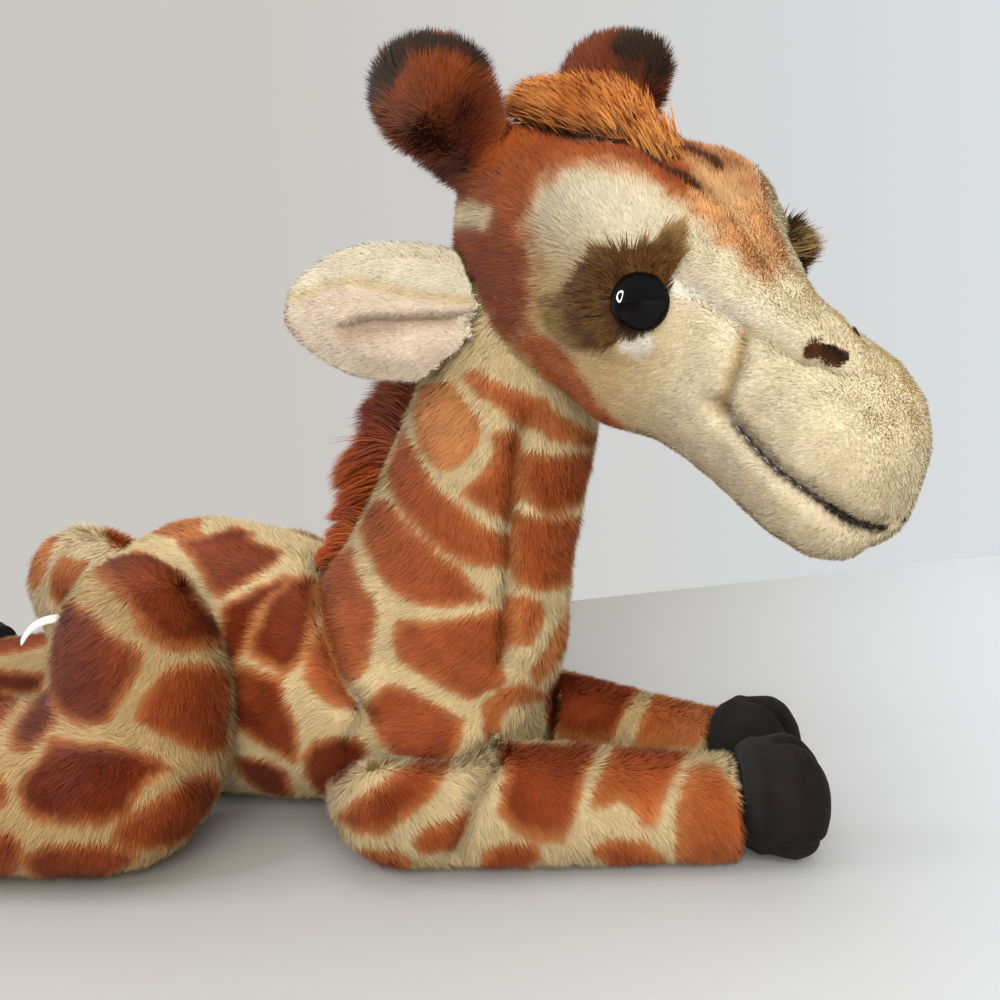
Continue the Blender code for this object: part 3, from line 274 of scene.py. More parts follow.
def grown_box(node, by):
    low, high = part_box(node)
    return low - Vector((by,) * 3), high + Vector((by,) * 3)


class Skin:
    """The backing cloth of one stuffed body, as arrays for painting and for planting pile."""

    def __init__(self, piece, body):
        self.piece = piece
        self.body = body
        self.read()
        self.shade = np.ones(len(self.points))
        self.tucked = np.zeros(len(self.points))

    def read(self):
        mesh = self.piece.data
        self.points = np.empty((len(mesh.vertices), 3))
        mesh.vertices.foreach_get("co", self.points.ravel())
        mesh.calc_loop_triangles()
        corners = np.empty(len(mesh.loop_triangles) * 3, np.int32)
        mesh.loop_triangles.foreach_get("vertices", corners)
        self.triangles = corners.reshape(-1, 3)
        a, b, c = (self.points[self.triangles[:, k]] for k in range(3))
        crossed = np.cross(b - a, c - a)
        self.areas = np.linalg.norm(crossed, axis=1) / 2
        normals = np.zeros_like(self.points)
        for k in range(3):
            np.add.at(normals, self.triangles[:, k], crossed)
        self.normals = unit(normals)
        self.tree = BVHTree.FromPolygons(self.points.tolist(), self.triangles.tolist())

    def write(self, points):
        mesh = self.piece.data
        mesh.vertices.foreach_set("co", np.ascontiguousarray(points, float).ravel())
        mesh.update()
        self.read()

    def swell(self, amounts):
        self.write(self.points + self.normals * amounts[:, None])

    def load(self, weight):
        """The area of the skin, counted by a weight at its points."""
        return (self.areas * weight[self.triangles].mean(1)).sum()


def keep_outer_shell(piece):
    """Drops the small closed shells that a remesh leaves inside."""
    work = bmesh.new()
    work.from_mesh(piece.data)
    left, shells = set(work.verts), []
    while left:
        edge, shell = [left.pop()], set()
        while edge:
            corner = edge.pop()
            shell.add(corner)
            for link in corner.link_edges:
                other = link.other_vert(corner)
                if other in left:
                    left.discard(other)
                    edge.append(other)
        shells.append(shell)
    largest = max(shells, key=len)
    bmesh.ops.delete(work, geom=[v for v in work.verts if v not in largest], context="VERTS")
    work.to_mesh(piece.data)
    work.free()


def relaxed(points, triangles, weight, rounds):
    """Points eased towards their neighbours' middle, as far as their weight allows."""
    edges = np.concatenate([triangles[:, [0, 1]], triangles[:, [1, 2]], triangles[:, [2, 0]]])
    edges = np.concatenate([edges, edges[:, ::-1]])
    count = np.bincount(edges[:, 0], minlength=len(points))[:, None]
    for _ in range(rounds):
        sums = [np.bincount(edges[:, 0], points[edges[:, 1], k], len(points)) for k in range(3)]
        middle = np.stack(sums, 1) / count
        points = points + (middle - points) * weight[:, None] * 0.6
    return points


def stuffed_skin(name, body, nodes, voxel, rounds, inset, hollows=()):
    """A rounded skin over CAD nodes, set in by the height that its pile gives back."""
    piece = merged_copy(name, nodes, hollows)
    apply_modifier(piece, "REMESH", mode="VOXEL", voxel_size=voxel, adaptivity=0.0)
    keep_outer_shell(piece)
    apply_modifier(piece, "SMOOTH", factor=0.5, iterations=rounds)
    skin = Skin(piece, body)
    skin.swell(np.full(len(skin.points), -inset))
    pick(piece)
    bpy.ops.object.shade_smooth()
    return skin


# Skins
VOXEL = 0.0021
BAG_BOX = grown_box("pellet_bag", 0.0025)
SEAM_BOX = grown_box("closing_seam", 0.004)
SOCKETS = [grown_box(f"eye_washer_{side}", 0.001) for side in ("right", "left")]
SOCKETS += [grown_box(f"eye_{side}", 0.001) for side in ("right", "left")]

NECK_PIVOT = Vector(JOINTS["neck_lean"]["pos_m"])
HEAD_PIVOT = Vector(JOINTS["head_turn"]["pos_m"])
NECK_AXIS = (HEAD_PIVOT - NECK_PIVOT).normalized()

# Each skin: its nodes, the remesh's voxel, rounds of smoothing, how far it is set in, and hollows left out.
CUTS = {
    "trunk": (["torso", "neck"], VOXEL, 10, 0.0022, [BAG_BOX, SEAM_BOX]),
    "head": (["head", "horn_right", "horn_left"], 0.0019, 7, 0.0016, SOCKETS),
    "tail": (["tail"], 0.0018, 6, 0.0018),
}
for side in ("right", "left"):
    CUTS[f"foreleg_{side}"] = ([f"foreleg_{side}"], VOXEL, 8, 0.0022)
    CUTS[f"hindleg_{side}"] = ([f"hindleg_{side}"], VOXEL, 10, 0.0022)
    CUTS[f"ear_{side}"] = ([f"ear_{side}", f"ear_lining_{side}"], 0.0013, 5, 0.0008)
skins = {name: stuffed_skin(f"{name}_skin", name, *cut) for name, cut in CUTS.items()}
for name, skin in skins.items():
    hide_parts(*CUTS[name][0])


def settle(piece, body):
    """Lets a piece ride on its body, or, for the trunk, bakes its place into its mesh and leaves it without a
    parent.
    """
    if body == "trunk":
        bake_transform(piece)
    else:
        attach(piece, body)


# Giraffe patches, read on the photograph: a tone from 0, amber, to 1, chestnut, and the outline's pixels.
PATCHES = {
    "nape": (0.05, "425,388 440,385 455,385 466,402 479,420 478,440 467,457 452,469 440,467 428,455 421,435 "
        "420,410"),
    "throat": (0.5, "493,435 516,429 521,445 519,470 517,500 508,520 497,515 480,505 463,493 475,480 490,465 "
        "496,450"),
    "throat_far": (0.6, "519,452 545,455 575,452 603,447 606,462 594,477 582,495 565,507 545,512 531,503 "
        "521,490 517,470"),
    "neck_band": (0.45, "407,432 420,455 430,480 448,497 460,505 480,525 500,533 515,529 515,562 500,565 "
        "470,562 445,550 425,530 410,515 397,495 391,475"),
    "neck_band_far": (0.5, "515,512 540,518 565,515 588,522 590,545 584,570 560,583 540,589 518,583 513,560"),
    "neck_side": (0.4, "372,510 385,500 393,505 405,520 425,540 440,555 462,570 478,590 487,598 460,603 "
        "440,606 415,602 395,590 380,570 370,545 366,525"),
    "neck_root": (0.4, "322,578 340,560 355,548 357,565 365,585 376,600 378,620 374,650 368,668 352,682 "
        "342,670 332,650 322,625 317,600"),
    "neck_front": (0.45, "399,620 440,622 475,615 500,608 507,592 515,600 515,640 504,650 501,665 505,680 "
        "485,690 470,697 450,688 425,673 405,662 396,645"),
    "neck_front_far": (0.35, "516,595 541,603 540,620 530,642 516,643"),
    "chest": (0.6, "370,705 382,690 395,683 420,695 445,710 461,722 459,740 450,758 435,767 410,765 393,750 "
        "380,732"),
    "chest_far": (0.2, "577,588 580,600 568,625 560,648 545,672 534,683 529,672 545,645 560,620 570,597"),
    "chest_spot": (0.3, "484,702 500,688 520,683 545,692 524,700 506,704 498,718 497,740 487,748 483,728"),
    "collar": (0.35, "465,376 478,372 500,385 540,398 556,414 580,428 608,441 605,447 575,442 550,438 535,426 "
        "515,419 495,404 480,393"),
    "back_ridge": (0.2, "150,528 160,518 185,513 203,522 200,533 205,541 190,545 170,540 155,535"),
    "back": (0.75, "180,546 205,541 235,530 255,537 250,543 283,555 278,565 255,580 238,590 222,600 210,590 "
        "200,570 193,558"),
    "flank_rear": (0.95, "225,605 245,598 262,588 290,576 285,590 262,610 255,625 247,650 238,665 226,662 "
        "222,635"),
    "flank": (0.85, "290,583 305,577 314,585 312,620 306,650 298,665 288,674 270,665 253,656 253,640 262,620 "
        "272,600"),
    "flank_low": (0.85, "232,670 243,664 270,675 282,680 288,700 298,725 300,745 296,760 280,750 258,738 "
        "238,725 228,700 227,685"),
    "belly": (0.85, "235,752 255,753 275,760 290,770 297,798 285,797 265,787 245,773"),
    "shoulder": (0.82, "305,755 315,740 335,735 360,735 371,748 367,765 355,778 340,788 322,790 309,775"),
    "crease": (0.4, "316,632 326,640 333,660 346,690 354,712 335,706 318,695 308,680 307,655"),
    "elbow": (0.7, "343,815 358,800 375,790 395,775 420,767 447,770 437,785 420,803 400,818 385,829 360,828"),
    "elbow_low": (0.4, "413,838 425,825 450,818 465,805 468,815 462,832 448,845 432,848 418,847"),
    "elbow_edge": (0.35, "352,846 375,844 395,847 411,856 402,868 375,862"),
    "elbow_fore": (0.5, "478,862 485,845 510,840 532,842 541,853 520,861 495,868"),
    "fore_upper": (0.7, "501,752 520,748 560,750 596,750 587,770 580,790 574,812 562,833 540,834 515,826 "
        "499,812 503,790 508,775"),
    "fore_mid": (0.4, "612,752 650,748 686,757 672,778 662,797 653,819 645,821 632,806 620,798 605,803 592,806 "
        "596,788 604,770"),
    "fore_end": (0.35, "690,778 705,769 722,776 733,795 742,820 748,845 753,870 730,874 700,873 680,869 "
        "676,845 677,820 680,798"),
    "fore_low": (0.4, "590,846 610,838 640,838 660,850 666,867 640,862 610,859"),
    "far_fore": (0.8, "540,695 556,668 590,660 620,665 644,685 630,705 619,725 612,740 580,740 555,732 "
        "540,715"),
    "far_fore_end": (0.3, "656,695 668,682 700,692 724,705 716,725 705,742 670,744 637,742 645,718"),
    "thigh_top": (0.75, "98,572 110,560 130,553 150,556 170,570 185,588 200,610 218,630 221,643 200,648 "
        "175,650 155,641 140,625 130,605 115,590"),
    "thigh_rear": (0.8, "62,615 75,603 90,612 105,628 120,640 138,648 141,660 135,680 120,700 112,720 95,727 "
        "75,725 65,715 56,690 55,660 58,635"),
    "thigh": (0.6, "165,672 185,665 210,667 224,672 226,700 224,725 222,747 205,751 185,744 160,732 139,720 "
        "140,705 150,690"),
    "shank": (0.9, "55,740 75,745 105,748 130,752 155,760 169,770 150,780 135,795 125,815 105,821 75,821 "
        "45,819 27,808 21,790 28,775 43,760"),
    "knee": (0.6, "208,772 218,788 204,811 188,829 168,843 145,846 117,840 114,828 135,812 155,800 175,788 "
        "190,776"),
    "shank_under": (0.7, "28,850 50,842 80,840 110,842 137,850 125,863 100,873 70,877 40,871 27,860"),
    "shank_end": (0.6, "-30,822 0,828 15,832 23,842 22,858 12,870 -30,866"),
    "hock": (0.85, "15,735 25,720 40,700 56,688 58,705 59,722 45,740 30,753 14,750"),
    "hock_rear": (0.6, "-25,684 0,690 15,694 22,700 15,715 0,730 -25,730"),
    "hock_end": (0.6, "-20,772 0,778 10,785 11,800 0,808 -20,810"),
    "far_shank": (0.7, "-20,640 0,642 20,634 50,636 52,645 30,652 0,656 -20,656"),
    "far_shank_low": (1.0, "-20,668 0,670 30,672 47,674 42,689 20,692 0,688 -20,684"),
    "tail_edge": (0.2, "29,570 36,545 52,530 58,540 50,560 43,580 36,588"),
    "tail_side": (0.3, "52,597 55,570 63,558 75,562 89,563 80,577 70,588 60,602"),
    "rump": (0.3, "103,530 125,523 143,532 135,546 115,549"),
}
COATED = ("trunk", "tail", "foreleg_right", "foreleg_left", "hindleg_right", "hindleg_left")
LINE_HALF = 0.0030  # half of a cream line between two patches
FILL_STEP = 0.031  # from middle to middle of the patches that are filled in
MOST_SEEDS = 80
OUTLINE_STEP = 6  # pixels
LEAST_SHARE = 0.15  # of an outline, for a skin to carry it
MOST_DEPTH_STEP = 0.04
PAST_EDGE_DEPTH = 0.022


def thickened(outline, step):
    """The outline with extra points along its sides."""
    points = []
    for k, start in enumerate(outline):
        end = outline[(k + 1) % len(outline)]
        count = max(1, round(math.dist(start, end) / step))
        points += [tuple(np.array(start) + (np.array(end) - start) * i / count) for i in range(count)]
    return points


def first_hit(origin, direction, names):
    """The nearest of the skins on a line, as its name, the point and the outward normal."""
    best = (None, None, None, 1e9)
    for name in names:
        place, normal, _, far = skins[name].tree.ray_cast(origin, direction)
        if place is not None and far < best[3]:
            best = (name, place, normal, far)
    return best


def patches_on_skins(outline):
    """A traced outline laid on each skin that carries a fair share of it."""
    pixels = thickened(traced(outline), OUTLINE_STEP)
    hits = [first_hit(CAMERA_PLACE, sight_line(pixel), skins) for pixel in pixels]
    names = [hit[0] for hit in hits if hit[0] in COATED]
    laid = []
    for name in sorted(set(names)):
        if names.count(name) < LEAST_SHARE * len(names):
            continue
        depth = float(np.median([hit[3] for hit in hits if hit[0] == name]))
        tree = skins[name].tree
        places = []
        for pixel, hit in zip(pixels, hits):
            line = sight_line(pixel)
            own = hit[1] if hit[0] == name else tree.ray_cast(CAMERA_PLACE, line)[0]
            if own is None:
                own = tree.find_nearest(CAMERA_PLACE + line * (depth + PAST_EDGE_DEPTH))[0]
            elif abs((own - CAMERA_PLACE).length - depth) > MOST_DEPTH_STEP:
                own = tree.find_nearest(CAMERA_PLACE + line * depth)[0]
            places.append(list(own))
        laid.append((name, np.array(places)))
    return laid


def signed_depth(flat, outline):
    """How far points of a plane are inside an outline, less than 0 outside."""
    nearest = np.full(len(flat), 1e9)
    inside = np.zeros(len(flat), bool)
    for k in range(len(outline)):
        a, b = outline[k], outline[(k + 1) % len(outline)]
        side = b - a
        t = np.clip(((flat - a) @ side) / max(side @ side, 1e-12), 0, 1)
        nearest = np.minimum(nearest, np.linalg.norm(flat - a - t[:, None] * side, axis=1))
        crosses = (a[1] > flat[:, 1]) != (b[1] > flat[:, 1])
        at = a[0] + (flat[:, 1] - a[1]) * side[0] / (side[1] if abs(side[1]) > 1e-12 else 1e-12)
        inside ^= crosses & (flat[:, 0] < at)
    return np.where(inside, nearest, -nearest)


def patch_depth(skin, outline):
    """How deep each point of a skin is inside a patch that is laid on it."""
    centre = outline.mean(0)
    reach = np.linalg.norm(outline - centre, axis=1).max()
    facing = unit(sum(np.array(skin.tree.find_nearest(Vector(p))[1]) for p in outline))
    across = unit(np.cross(facing, [0.3, 0.2, 0.93]))
    along = np.cross(facing, across)
    away = skin.points - centre
    depth = np.full(len(skin.points), -1.0)
    near = (np.linalg.norm(away, axis=1) < reach * 1.5 + 0.01) & (skin.normals @ facing > -0.15)
    plane = np.stack([across, along], 1)
    depth[near] = signed_depth(away[near] @ plane, (outline - centre) @ plane)
    return depth


def seen_points(skin):
    """Which points of a skin the photograph shows."""
    seen = np.zeros(len(skin.points), bool)
    pixels, _ = pixels_of(skin.points)
    facing = np.einsum("ij,ij->i", skin.normals, np.array(CAMERA_PLACE) - skin.points) > 0
    framed = (np.abs(pixels - PHOTO_SIDE / 2) < PHOTO_SIDE / 2).all(1) & facing
    for index in np.flatnonzero(framed):
        place = Vector(skin.points[index] + skin.normals[index] * 0.0005)
        line = CAMERA_PLACE - place
        far = line.length
        seen[index] = not any(
            other.tree.ray_cast(place, line, far)[0] is not None for other in skins.values())
    return seen


def spread_seeds(points, step):
    """Points at least a step apart, taken farthest first."""
    chosen = [0]
    far = np.linalg.norm(points - points[0], axis=1)
    while far.max() > step and len(chosen) < MOST_SEEDS:
        chosen.append(int(far.argmax()))
        far = np.minimum(far, np.linalg.norm(points - points[chosen[-1]], axis=1))
    return points[chosen]


def across_middle(points):
    return points * [1, -1, 1] + [0, 2 * MIDDLE_Y, 0]


def twin_of(name):
    return name.replace("right", "@").replace("left", "right").replace("@", "left")


def on_twin(name, points):
    """Where points of a skin lie on its twin, or on its own other flank."""
    flipped = across_middle(points)
    if twin_of(name) != name:
        flipped += skins[twin_of(name)].points.mean(0) - across_middle(skins[name].points).mean(0)
    return flipped


def mirrored(name, outline):
    """The same patch on the other flank, laid on the skin there."""
    tree = skins[twin_of(name)].tree
    return twin_of(name), np.array([list(tree.find_nearest(Vector(p))[0]) for p in on_twin(name, outline)])


def paint_patches():
    """Gives each coated skin how deep its points are inside a patch, and each patch's tone."""
    laid = [(tone, found) for tone, outline in PATCHES.values() for found in patches_on_skins(outline)]
    for name in COATED:
        skin = skins[name]
        traced = np.full(len(skin.points), -1.0)
        skin.tone = np.full(len(skin.points), 0.5)
        for tone, (owner, outline) in laid:
            if owner == name:
                depth = patch_depth(skin, outline)
                skin.tone = np.where(depth > np.maximum(traced, -0.004), tone, skin.tone)
                traced = np.maximum(traced, depth)
        seen = seen_points(skin)
        spread = seen.copy()
        for _ in range(2):
            for a, b in ((0, 1), (1, 2), (2, 0)):
                ends = skin.triangles[:, [a, b]]
                grown = spread.copy()
                grown[ends[spread[ends].any(1)]] = True
                spread = grown
        second = np.full(len(skin.points), -1.0)
        for tone, found in laid:
            owner, outline = mirrored(*found)
            if owner == name:
                depth = np.minimum(patch_depth(skin, outline), -traced - 2 * LINE_HALF)
                depth[spread] = -1.0
                skin.tone = np.where(depth > np.maximum(second, -0.002), tone, skin.tone)
                second = np.maximum(second, depth)
        taken = np.maximum(traced, second)
        free = ~spread & (taken < -3 * LINE_HALF)
        third = np.full(len(skin.points), -1.0)
        if free.sum() > 30:
            seeds = spread_seeds(skin.points[free], FILL_STEP)
            wobble = np.stack([cloud(skin.points, 0.018, seed) for seed in (3, 4, 5)], 1) * 0.004
            gaps = np.linalg.norm((skin.points + wobble)[:, None] - seeds[None], axis=2)
            order = np.sort(gaps, axis=1)
            if len(seeds) > 1:
                third = (order[:, 1] - order[:, 0]) / 2 - LINE_HALF
            third = np.minimum(third, -taken - 2 * LINE_HALF)
            third[spread] = -1.0
            tones = 0.3 + 0.5 * (np.arange(len(seeds)) * 0.618 % 1)
            skin.tone = np.where(third > -0.002, tones[gaps.argmin(1)], skin.tone)
        skin.patch = np.maximum(taken, third)


# Colours of the pile
CREAM = linear("#E3CB9C")
AMBER = linear("#DE9A5C")
RUST = linear("#BC6236")
CHESTNUT = linear("#7A321A")


def mix(a, b, share):
    return a + (b - a) * np.asarray(share)[..., None]


# How much darker and warmer each body's cloth is made, cream then rust: partly the dye, partly painted shade
# where less light falls.
DYE_AND_SHADE = {
    "hindleg_right": ((0.70, 0.60, 0.48), (0.68, 0.59, 0.53)),
    "hindleg_left": ((0.78, 0.70, 0.60), (0.75, 0.66, 0.60)),
    "tail": ((0.95, 0.95, 1.0), (0.9, 0.85, 0.8)),
    "trunk": ((0.97, 0.95, 0.92), (0.86, 0.80, 0.76)),
    "foreleg_right": ((0.86, 0.84, 0.82), (0.78, 0.69, 0.64)),
    "foreleg_left": ((0.88, 0.82, 0.72), (0.85, 0.72, 0.62)),
}


def coat_colour(name, patch, tone, points):
    """Cream ground with rust patches, a little more orange at their rims."""
    ragged = patch + 0.0007 + cloud(points, 0.0022, 7) * 0.0006
    rust = mix(RUST, CHESTNUT, ease(0.4, 1.0, tone + 0.15 * cloud(points, 0.012, 8)))
    rust = mix(AMBER[None], rust, ease(-0.1, 0.5, tone + 0.12 * cloud(points, 0.015, 9)))
    rust = mix(AMBER * 0.6 + RUST * 0.4, rust, ease(0.0, 0.0042, ragged))
    rust = rust * (1 + 0.14 * cloud(points, 0.007, 11) + 0.10 * cloud(points, 0.0028, 12))[:, None]
    cream = CREAM * (1 + 0.06 * cloud(points, 0.01, 10))[:, None]
    # Each body's cream and rust made darker and warmer here: partly dye, partly painted shade.
    cream_dye_and_shade, rust_dye_and_shade = (np.array(dye) for dye in DYE_AND_SHADE[name])
    rust = rust * mix(np.ones(3), rust_dye_and_shade, ease(0.0, 0.5, tone))
    return mix(cream * cream_dye_and_shade, rust, ease(-0.0010, 0.0008, ragged))


# Pile
class Planter:
    """Plants strands of pile on a skin: each is one slim leaf of real mesh."""

    def __init__(self, skin, seed):
        self.skin = skin
        self.random = np.random.default_rng(seed)

    def roots(self, count, weight=None):
        """Roots spread evenly over the skin, or by a weight at its points."""
        skin = self.skin
        load = skin.areas.copy()
        if weight is not None:
            load *= weight[skin.triangles].mean(1)
        total = np.cumsum(load)
        faces = np.searchsorted(total, (np.arange(count) + self.random.random(count)) / count * total[-1])
        faces = np.minimum(faces, len(load) - 1)
        a, b = self.random.random(count), self.random.random(count)
        over = a + b > 1
        a[over], b[over] = 1 - a[over], 1 - b[over]
        self.corners = skin.triangles[faces]
        self.shares = np.stack([1 - a - b, a, b], 1)
        self.places = self.blend(skin.points)
        self.outward = unit(self.blend(skin.normals))
        return self

    def blend(self, values):
        picked = values[self.corners]
        shares = self.shares if picked.ndim == 2 else self.shares[..., None]
        return (picked * shares).sum(1)


def turn_out(corners, outward):
    """Turns the leaves that face inwards, and says which they were."""
    facing = np.cross(corners[:, 1] - corners[:, 0], corners[:, 2] - corners[:, 0])
    turned = np.einsum("ij,ij->i", facing, outward) < 0
    corners[turned] = corners[turned][:, [1, 0, 2]]
    return turned


ROOT_DEPTH = 0.0006
ROOT_SHARE = 0.6  # of a strand's length, how far back its root starts
SWIRL = 0.3


def plant(name, planter, colours, length, width, lift, nap, body, shade=(0.72, 1.06), spread=0.14):
    """Strands from the planter's roots. Lift is how upright they stand, nap the way they are brushed."""
    count = len(planter.places)
    random = planter.random
    places, outward = planter.places, planter.outward
    nap = nap + np.zeros_like(outward)
    brushed = nap - outward * np.einsum("ij,ij->i", nap, outward)[:, None]
    flat = np.linalg.norm(brushed, axis=1) / np.maximum(np.linalg.norm(nap, axis=1), 1e-9)
    brushed = unit(brushed + 1e-6)
    sideways = np.cross(outward, brushed)
    veer = SWIRL * cloud(places, 0.011, 21) + 0.22 * random.standard_normal(count)
    brushed = unit(brushed * np.cos(veer)[:, None] + sideways * np.sin(veer)[:, None])
    stand = np.clip(lift + 0.16 * cloud(places, 0.006, 22) + 0.1 * random.standard_normal(count), 0.12, 1.2)
    stand = stand + (1.0 - stand) * (1 - ease(0.15, 0.6, flat))
    way = brushed * np.cos(stand)[:, None] + outward * np.sin(stand)[:, None]
    long = length * (0.78 + 0.44 * random.random(count)) * (1 + 0.12 * cloud(places, 0.005, 23))
    sideways = unit(np.cross(way, outward))
    roll = 0.5 * random.standard_normal(count)
    across = sideways * np.cos(roll)[:, None] + np.cross(way, sideways) * np.sin(roll)[:, None]
    half = across * (width * (0.75 + 0.5 * random.random(count)) / 2)[:, None]
    start = places - brushed * (np.cos(stand) * long * ROOT_SHARE)[:, None] - outward * ROOT_DEPTH
    tips = start + way * long[:, None]
    corners = np.stack([start - half, start + half, tips], 1)
    turn_out(corners, outward)
    tint = (1 - spread / 2 + spread * random.random(count)).reshape(-1, 1) * colours
    tint = tint * (1 + 0.09 * cloud(places, 0.0032, 24))[:, None]
    # Each strand is painted darker at its root than at its tip: painted shade deep in the pile.
    shades = np.stack([tint * shade[0], tint * shade[0], tint * shade[1]], 1)
    lit = unit(outward + 0.22 * random.standard_normal((count, 3)))
    lit = np.repeat(lit[:, None], 3, 1)
    lit[:, 2] = unit(lit[:, 2] + 0.25 * way)
    return leaf_mesh(name, corners, shades, lit, body)


TABLE_GAP = 0.0002


def leaf_mesh(name, corners, shades, lit, body):
    """One object from loose three-cornered leaves, each with colours, soft normals and a place on the map."""
    count = len(corners)
    order = np.argsort(spatial_key(corners[:, 0]), kind="stable")
    corners, shades, lit = corners[order], shades[order], lit[order]
    corners[..., 2] = np.maximum(corners[..., 2], TABLE_GAP)
    mesh = bpy.data.meshes.new(name)
    mesh.vertices.add(count * 3)
    mesh.vertices.foreach_set("co", corners.astype(np.float32).ravel())
    mesh.loops.add(count * 3)
    mesh.loops.foreach_set("vertex_index", np.arange(count * 3, dtype=np.int32))
    mesh.polygons.add(count)
    mesh.polygons.foreach_set("loop_start", np.arange(0, count * 3, 3, dtype=np.int32))
    paint(mesh, shades.reshape(-1, 3))
    layer = mesh.uv_layers.new(name="OFBake")
    across, up = grid_place(count)
    side = 2 ** math.ceil(math.log2(max(count, 1)) / 2)
    cell = np.array([[0.1, 0.1], [0.9, 0.1], [0.5, 0.9]])
    places = (np.stack([across, up], 1)[:, None] + cell[None]) / side
    layer.data.foreach_set("uv", places.astype(np.float32).ravel())
    mesh.update(calc_edges=True)
    mesh.polygons.foreach_set("use_smooth", np.ones(count, bool))
    mesh.normals_split_custom_set_from_vertices(lit.reshape(-1, 3).astype(np.float32))
    mesh.materials.append(PILE)
    piece = add_object(name, mesh)
    settle(piece, body)
    return piece


def spread_bits(values, gap):
    out = np.zeros_like(values)
    for bit in range(10):
        out |= ((values >> bit) & 1) << (bit * gap)
    return out


def spatial_key(points):
    """A number that is close for close points, to keep neighbours side by side."""
    low = points.min(0)
    cells = ((points - low) / max(np.ptp(points, axis=0).max(), 1e-9) * 1023).astype(np.int64)
    return sum(spread_bits(cells[:, k], 3) << k for k in range(3))


def grid_place(count):
    """Cells of a square, walked so that close numbers have close cells."""
    index = np.arange(count, dtype=np.int64)
    across, up = np.zeros(count, np.int64), np.zeros(count, np.int64)
    for bit in range(12):
        across |= ((index >> (2 * bit)) & 1) << bit
        up |= ((index >> (2 * bit + 1)) & 1) << bit
    return across, up


# Materials
def add_node(material, kind, links=(), **settings):
    """One node with its settings. links pairs each input with another node's output or a value."""
    node = material.node_tree.nodes.new(kind)
    for key, value in settings.items():
        setattr(node, key, value)
    for socket, source in dict(links).items():
        if isinstance(source, bpy.types.NodeSocket):
            material.node_tree.links.new(source, node.inputs[socket])
        else:
            node.inputs[socket].default_value = source
    return node


def new_material(name, **sockets):
    """A Principled material with constants on its own sockets."""
    material = bpy.data.materials.new(name)
    material.use_nodes = True
    shader = material.node_tree.nodes["Principled BSDF"]
    for key, value in sockets.items():
        shader.inputs[key.replace("_", " ")].default_value = value
    return material, shader


def rgba(colour):
    return (*colour, 1.0)


def acrylic_pile():
    """Acrylic pile: dyed fibre with a soft silky edge, its colour carried by the strand."""
    material, shader = new_material("acrylic_pile", Roughness=0.9, Sheen_Weight=0.035, Sheen_Roughness=0.45)
    shader.inputs["Sheen Tint"].default_value = (1.0, 0.9, 0.78, 1.0)
    shader.inputs["Specular IOR Level"].default_value = 0.05
    coat = add_node(material, "ShaderNodeVertexColor", layer_name="coat")
    material.node_tree.links.new(coat.outputs["Color"], shader.inputs["Base Color"])
    return material


def backing_cloth():
    """Knitted backing under the pile, shaded like the pile's roots."""
    material, shader = new_material("knitted_backing", Roughness=0.95)
    coat = add_node(material, "ShaderNodeVertexColor", layer_name="coat")
    place = add_node(material, "ShaderNodeTexCoord")
    knit = add_node(material, "ShaderNodeTexNoise", {"Vector": place.outputs["Object"], "Scale": 900.0})
    bump = add_node(material, "ShaderNodeBump",
        {"Height": knit.outputs["Fac"], "Distance": 0.0004, "Strength": 0.5})
    material.node_tree.links.new(coat.outputs["Color"], shader.inputs["Base Color"])
    material.node_tree.links.new(bump.outputs["Normal"], shader.inputs["Normal"])
    return material


PILE = acrylic_pile()
BACKING = backing_cloth()


def colour_skin(skin, colours, share=0.62):
    """Dyes the backing in the pile's colours, darker by a share: painted shade under the pile."""
    paint(skin.piece.data, colours * share)
    clothe(skin.piece, BACKING)


INSIDE_RAY = Vector((0.31, 0.22, 0.93)).normalized()


def is_inside(tree, place):
    """Whether a place lies inside a closed skin, by how often a ray leaves it."""
    crossings = 0
    while crossings < 40:
        hit = tree.ray_cast(place, INSIDE_RAY)[0]
        if hit is None:
            break
        crossings += 1
        place = hit + INSIDE_RAY * 1e-5
    return crossings % 2 == 1


def buried(skin, names, most=0.03):
    """How deep each point of a skin lies inside the named others."""
    deep = np.zeros(len(skin.points))
    for name in names:
        tree = skins[name].tree
        low, high = skins[name].points.min(0), skins[name].points.max(0)
        close = ((skin.points > low) & (skin.points < high)).all(1)
        for index in np.flatnonzero(close):
            place = Vector(skin.points[index])
            near, normal, _, far = tree.find_nearest(place, most)
            if (near is None or (place - near).dot(normal) < 0) and is_inside(tree, place):
                deep[index] = max(deep[index], far or most)
    return deep


# Folds of the trunk, read on the photograph
THROAT_SEAM = traced("521,428 514,480 511,530 508,590 505,625 504,660")
NECK_CREASE = traced("322,560 317,580 324,625 335,660 346,686 370,712")
FOOT_REACH = 0.010
CREASE_SHADE = 0.42
LEG_FOLD = traced("502,742 492,762 478,792 464,826 452,862")
SHOULDER_LINE = traced("322,806 332,790 352,774 385,765 440,771 470,766 497,746 508,730")
SHOULDER_COVER = 0.0035
# Each swelling: a pixel, its reach and its rise.
CHEST_SWELLS = (((405, 735), 0.016, 0.0065), ((450, 750), 0.014, 0.0070), ((350, 700), 0.014, 0.0030),
    ((545, 690), 0.012, 0.0030))
LEG_SWELLS = (((395, 810), 0.014, 0.0020), ((352, 775), 0.010, -0.0015))


def hits_of(name, pixels):
    """Where sight lines through a path's pixels meet a skin."""
    path = [pixels[0]]
    for start, end in zip(pixels, pixels[1:]):
        count = max(1, round(math.dist(start, end) / 8))
        path += [tuple(np.array(start) + (np.array(end) - start) * (i + 1) / count) for i in range(count)]
    hits = [skins[name].tree.ray_cast(CAMERA_PLACE, sight_line(pixel))[0] for pixel in path]
    return np.array([list(hit) for hit in hits if hit is not None])


